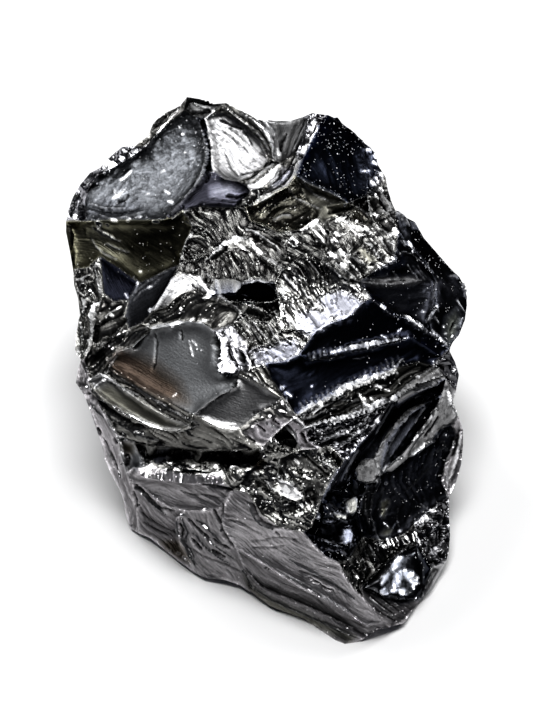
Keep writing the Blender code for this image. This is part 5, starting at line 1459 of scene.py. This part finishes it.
def drawPatches(pixels, settings, lift):
    for feather, look, outline in patches:
        outline = np.array(outline)
        low, high = outline.min(0) - feather, outline.max(0) + feather
        rows = np.nonzero(((pixels > low) & (pixels < high)).all(1) & seen)[0]
        gap = edgeDistances(outline, pixels[rows]).min(1)
        held = inside(outline, pixels[rows])
        weight = np.clip(np.where(held, 0.5 + gap / feather / 2, 0.5 - gap / feather / 2), 0, 1)
        for key, value in look.items():
            if key == "height":
                lift[rows] += value * weight
            elif key == "tint":
                towards(settings[key], rows, linear(value), weight[:, None])
            elif key in ("chip", "swell", "fibre"):
                towards(settings[key], rows, np.array(value, float), weight[:, None])
            else:
                towards(settings[key], rows, value, weight)


def relief(points, pixels, field, ripples, triangles, settings, border):
    # every hollow, wave, facet and stroke of the broken surface, as a lift off the smooth faces
    values = reliefValues
    lift = np.zeros(len(points))
    drawPatches(pixels, settings, lift)
    turn = settings["angle"]
    wander = smoothNoise(field / values["wanderLength"], seeds["wander"]) * values["wander"]
    along = field[:, 0] * np.cos(turn) + field[:, 1] * np.sin(turn)
    across = -field[:, 0] * np.sin(turn) + field[:, 1] * np.cos(turn) + wander
    chip, swell, fibre = settings["chip"], settings["swell"], settings["fibre"]
    waves = np.stack([along / swell[:, 1], across / swell[:, 2]], 1)
    share, finer = values["fineWave"]
    wave = smoothNoise(waves, seeds["wave"]) + share * smoothNoise(waves * finer, seeds["fineWave"])
    facets = np.stack([along / chip[:, 1], across / chip[:, 2]], 1)
    share, finer = values["smallChip"]
    facet = chips(facets, seeds["chip"]) + share * chips(facets * finer, seeds["smallChip"])
    bend = smoothNoise(field / values["bendLength"], seeds["bend"]) * values["bend"]
    ribs = np.stack([along / fibre[:, 1], (across + bend) / fibre[:, 2]], 1)
    share, finer = values["fineRib"]
    rib = 1 - 2 * np.abs(smoothNoise(ribs, seeds["rib"])) - share * np.abs(
        smoothNoise(ribs * finer, seeds["fineRib"]))
    fade = np.clip(border / values["borderFade"], 0, 1)
    crest = np.clip((rib - values["crestFrom"]) / values["crestSpan"], 0, 1)
    crest = crest * np.clip(fibre[:, 0] / values["crestFibre"], 0, 1) * fade
    least, swing, length = values["crestPatches"]
    crest *= np.clip(least + swing * smoothNoise(field / length, seeds["crest"]), 0, 1)
    rows = np.arange(len(points))
    towards(settings["shine"], rows, values["crestShine"], crest)
    towards(settings["tone"], rows, settings["crest"], crest * values["crestCover"])
    lift += ripples * fade
    lift += (wave * swell[:, 0] + facet * chip[:, 0] + rib * fibre[:, 0]) * fade
    drawStrokes(pixels, settings, lift)
    lift *= np.where(seen, 1.0, np.clip(points[:, 2] / values["footFade"], 0, 1))
    normals = vertexNormals(points, triangles)
    return points + normals * lift[:, None], along * pixel, across * pixel


def neighbourMeans(values, triangles, rounds):
    pairs = np.concatenate([triangles[:, [0, 1]], triangles[:, [1, 2]], triangles[:, [2, 0]]])
    counts = np.bincount(pairs.ravel(), minlength=len(values)).astype(float)
    for _ in range(rounds):
        total = np.stack([
            np.bincount(pairs[:, 0], values[pairs[:, 1], k], len(values))
            + np.bincount(pairs[:, 1], values[pairs[:, 0], k], len(values))
            for k in range(values.shape[1])
        ], 1)
        values = total / counts[:, None]
    return values


def sharpness(points, triangles):
    # 1 on a sharp ridge, -1 in a crease, 0 on smooth ground; once for fine shape and once for broad
    normals = vertexNormals(points, triangles)
    found = []
    for rounds, height in (reliefValues["fineShape"], reliefValues["broadShape"]):
        offset = ((points - neighbourMeans(points, triangles, rounds)) * normals).sum(1)
        found.append(np.clip(offset / height, -1, 1))
    return found


def paintedShapeLight(settings, ridge, bulk, field, border):
    # painted light from the shape: ridges are painted lighter as a highlight and creases darker as painted
    # shade, and ridges and face borders get more flashing facets with their painted glints
    values = reliefValues
    for shape, (gain, loss) in ((ridge, values["ridgeLightAndShade"]), (bulk, values["bulkLightAndShade"])):
        settings["tone"] *= 1 + gain * np.clip(shape, 0, 1) - loss * np.clip(-shape, 0, 1)
    settings["tone"] = np.clip(settings["tone"], *values["toneRange"])
    share, reach = values["borderGlint"]
    settings["glint"] += values["ridgeGlint"] * np.clip(ridge, 0, 1) + share * np.exp(-border / reach)
    least, swing, length = values["glintPatches"]
    patchy = smoothNoise(field / length, seeds["sparkle"])
    settings["glint"] *= np.clip(least + swing * patchy, *values["glintRange"])


points, along, across = relief(points, pixels, field, ripples, triangles, settings, border)
paintedShapeLight(settings, *sharpness(points, triangles), field, border)
print("relief:", len(strokes), "drawn lines,", len(patches), "patches")


def stoneMesh():
    low, high = np.array(cadBox)
    margin = skinValues["boxMargin"]
    mesh = bpy.data.meshes.new("shungite skin")
    inFrame = np.clip((points + aimed) * mm, low + margin, high - margin)
    mesh.from_pydata([tuple(p) for p in inFrame], [], [tuple(map(int, t)) for t in triangles])
    mesh.update()
    columns = {key: settings[key] for key in ("rough", "grit", "lines", "glint", "shine")}
    for name, values in (columns | {"along": along, "across": across}).items():
        layer = mesh.attributes.new(name, "FLOAT", "POINT")
        layer.data.foreach_set("value", values.astype(np.float32))
    # the silver colour is tint times tone, so it carries the painted light laid into the tone: painted
    # highlights on ridges, glint lines and areas turned to the lamp, painted shade in creases, cracks and
    # shadow areas
    colours = np.ones((len(points), 4), np.float32)
    colours[:, :3] = settings["tint"] * settings["tone"][:, None]
    layer = mesh.attributes.new("silver", "FLOAT_COLOR", "POINT")
    layer.data.foreach_set("color", colours.ravel())
    return mesh


stone = bpy.data.objects.new("shungite_stone", stoneMesh())
bpy.context.scene.collection.objects.link(stone)


def addNode(tree, kind, values=None, links=None, **fields):
    node = tree.nodes.new(kind)
    for key, value in fields.items():
        setattr(node, key, value)
    for key, value in (values or {}).items():
        node.inputs[key].default_value = value
    for key, source in (links or {}).items():
        tree.links.new(source, node.inputs[key])
    return node


# Sizes in mm: finest grain, fine lines (across, and how many times longer), flashing facets. gritTone and
# lineTone: how much the grain changes the silver. facing: where the shining breaks face, towards the light.
# A flashing facet also gets a painted glint added to its colour, of the grey given in this table.
shungiteValues = {
    "gritSize": 0.28, "gritDepth": 0.05, "gritTone": 1.1, "gritDetail": 3.0,
    "lineWidth": 0.22, "lineStretch": 9.0, "lineDepth": 0.06, "lineTone": 1.6, "lineDetail": 2.0,
    "glintSize": 0.13, "glintShare": 0.026, "glintTurn": 0.95, "glintRough": 0.3, "paintedGlint": "#696969",
    "chipSize": 0.4, "chipTilt": 0.3, "facing": (0.0, -0.301, 0.954),
    "leastTone": 0.1, "edgeTint": "#7c7c7c",
}


def shungite():
    # glassy carbon, broken by hand: polished by nothing, so each face keeps the gloss of its own break
    material = bpy.data.materials.new("shungite")
    material.use_nodes = True
    tree = material.node_tree
    shader = tree.nodes["Principled BSDF"]
    values = shungiteValues

    def attribute(name, output="Fac"):
        return addNode(tree, "ShaderNodeAttribute", attribute_name=name).outputs[output]

    def maths(operation, first, second):
        node = addNode(tree, "ShaderNodeMath", operation=operation)
        for k, source in enumerate((first, second)):
            if isinstance(source, (int, float)):
                node.inputs[k].default_value = source
            else:
                tree.links.new(source, node.inputs[k])
        return node.outputs[0]

    def vectors(operation, inputs, links):
        return addNode(tree, "ShaderNodeVectorMath", inputs, links, operation=operation).outputs[0]

    def grain(vector, scale, detail, strength):
        sockets = {"Scale": scale, "Detail": detail}
        texture = addNode(tree, "ShaderNodeTexNoise", sockets, {"Vector": vector}).outputs[0]
        return maths("MULTIPLY", maths("SUBTRACT", texture, 0.5), attribute(strength))

    def cells(size):
        scale = {"Scale": 1 / mm / size}
        return addNode(tree, "ShaderNodeTexVoronoi", scale, {"Vector": place}).outputs["Color"]

    place = addNode(tree, "ShaderNodeTexCoord").outputs["Object"]
    flow = addNode(tree, "ShaderNodeCombineXYZ", {}, {
        0: maths("DIVIDE", attribute("along"), values["lineStretch"]),
        1: attribute("across"),
    }).outputs[0]
    grit = grain(place, 1 / mm / values["gritSize"], values["gritDetail"], "grit")
    line = grain(flow, 1 / values["lineWidth"], values["lineDetail"], "lines")
    gritLevel = maths("MULTIPLY", grit, values["gritDepth"])
    level = maths("ADD", gritLevel, maths("MULTIPLY", line, values["lineDepth"]))
    bump = addNode(tree, "ShaderNodeBump", {"Strength": 1.0, "Distance": mm}, {"Height": level}).outputs[0]
    chance = addNode(tree, "ShaderNodeSeparateColor", {}, {0: cells(values["glintSize"])}).outputs
    flashes = maths("LESS_THAN", chance[0], maths("MULTIPLY", attribute("glint"), values["glintShare"]))
    # the chips and ridges that shine broke parallel to each other, so they flash together
    jitter = vectors("SUBTRACT", {1: (0.5, 0.5, 0.5)}, {0: cells(values["chipSize"])})
    jitter = vectors("SCALE", {"Scale": values["chipTilt"]}, {0: jitter})
    parallel = vectors("ADD", {1: values["facing"]}, {0: jitter})
    turned = maths("MAXIMUM", attribute("shine"), maths("MULTIPLY", flashes, values["glintTurn"]))
    mixed = addNode(
        tree, "ShaderNodeMix", {}, {"Factor": turned, "A": bump, "B": parallel}, data_type="VECTOR"
    ).outputs[1]
    # the grain darkens and lightens the silver, and a flashing facet adds a painted glint to its colour
    gritTone = maths("MULTIPLY", grit, values["gritTone"])
    tones = maths("ADD", gritTone, maths("MULTIPLY", line, values["lineTone"]))
    tones = maths("MAXIMUM", maths("ADD", 1.0, tones), values["leastTone"])
    silver = vectors("SCALE", {}, {0: attribute("silver", "Color"), "Scale": tones})
    paintedGlintTone = maths("MULTIPLY", flashes, chance[1])
    paintedGlint = vectors("SCALE", {0: tuple(linear(values["paintedGlint"]))}, {"Scale": paintedGlintTone})
    rough = maths("MAXIMUM", attribute("rough"), maths("MULTIPLY", flashes, values["glintRough"]))
    for socket, source in (
        ("Normal", vectors("NORMALIZE", {}, {0: mixed})),
        ("Base Color", vectors("ADD", {}, {0: silver, 1: paintedGlint})),
        ("Roughness", rough),
    ):
        tree.links.new(source, shader.inputs[socket])
    shader.inputs["Metallic"].default_value = 1.0
    shader.inputs["Specular Tint"].default_value = (*linear(values["edgeTint"]), 1)
    return material


def crispEdges():
    # the borders between faces are crisp, and so is every edge that turns sharply
    edges = stone.data.edges
    stone.data.shade_smooth()
    stone.data.set_sharp_from_angle(angle=math.radians(reliefValues["crispAngle"]))
    onBorder = border < skinValues["onLine"]
    ends = np.zeros(len(edges) * 2, int)
    edges.foreach_get("vertices", ends)
    crisp = np.array([edge.use_edge_sharp for edge in edges]) | onBorder[ends.reshape(-1, 2)].all(1)
    edges.foreach_set("use_edge_sharp", crisp)


stone.data.materials.append(shungite())
crispEdges()
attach(stone, "root")
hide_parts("stone")
print("stone: dressed")

# The table and its lights. tableReach: half its width in metres. Each softbox: its azimuth and elevation in
# degrees, its distance, width and height in metres, and its power in watts
studioValues = {
    "tableReach": 3.0, "paper": "#f6f6f6", "paperRough": 0.9, "room": "#1d1f26", "sensor": 36,
    "softboxes": {
        "overhead": (0, 85, 1.0, 0.5, 0.5, 9),
        "back left": (-40, 45, 0.9, 0.35, 0.35, 3.6),
        "back right": (50, 40, 0.9, 0.2, 0.4, 2.5),
    },
}


def paper():
    # white card, pressed and left uncoated, so it stays matt
    material = bpy.data.materials.new("white paper")
    material.use_nodes = True
    shader = material.node_tree.nodes["Principled BSDF"]
    shader.inputs["Base Color"].default_value = (*linear(studioValues["paper"]), 1)
    shader.inputs["Roughness"].default_value = studioValues["paperRough"]
    return material


def table():
    reach = studioValues["tableReach"]
    mesh = bpy.data.meshes.new("table top")
    corners = [(-reach, -reach, 0), (reach, -reach, 0), (reach, reach, 0), (-reach, reach, 0)]
    mesh.from_pydata(corners, [], [(0, 1, 2, 3)])
    mesh.materials.append(paper())
    floor = bpy.data.objects.new("table_top", mesh)
    bpy.context.scene.collection.objects.link(floor)


def softbox(name, azimuth, elevation, distance, width, height, power):
    light = bpy.data.lights.new(name, "AREA")
    light.shape = "RECTANGLE"
    light.size = width
    light.size_y = height
    light.energy = power
    a, e = math.radians(azimuth), math.radians(elevation)
    place = Vector((math.sin(a) * math.cos(e), math.cos(a) * math.cos(e), math.sin(e))) * distance
    lamp = bpy.data.objects.new(name, light)
    lamp.location = place
    lamp.rotation_euler = (-place).to_track_quat("-Z", "Y").to_euler()
    bpy.context.scene.collection.objects.link(lamp)


def studio():
    scene = bpy.context.scene
    scene.view_settings.view_transform = "Standard"
    table()
    for name, numbers in studioValues["softboxes"].items():
        softbox(name, *numbers)
    scene.world = bpy.data.worlds.new("dark studio")
    scene.world.use_nodes = True
    background = scene.world.node_tree.nodes["Background"]
    background.inputs["Color"].default_value = (*linear(studioValues["room"]), 1)
    camera = bpy.data.cameras.new("camera")
    camera.sensor_fit = "VERTICAL"
    camera.sensor_height = studioValues["sensor"]
    camera.lens = studioValues["sensor"] * viewDistance / (pictureSize[1] * pixel)
    eye, right, up, forward = viewAxes()
    view = bpy.data.objects.new("camera", camera)
    view.location = Vector((eye + aimed) * mm)
    view.rotation_euler = Matrix((right, up, -forward)).transposed().to_euler()
    scene.collection.objects.link(view)
    scene.camera = view


studio()
print("studio: ready")
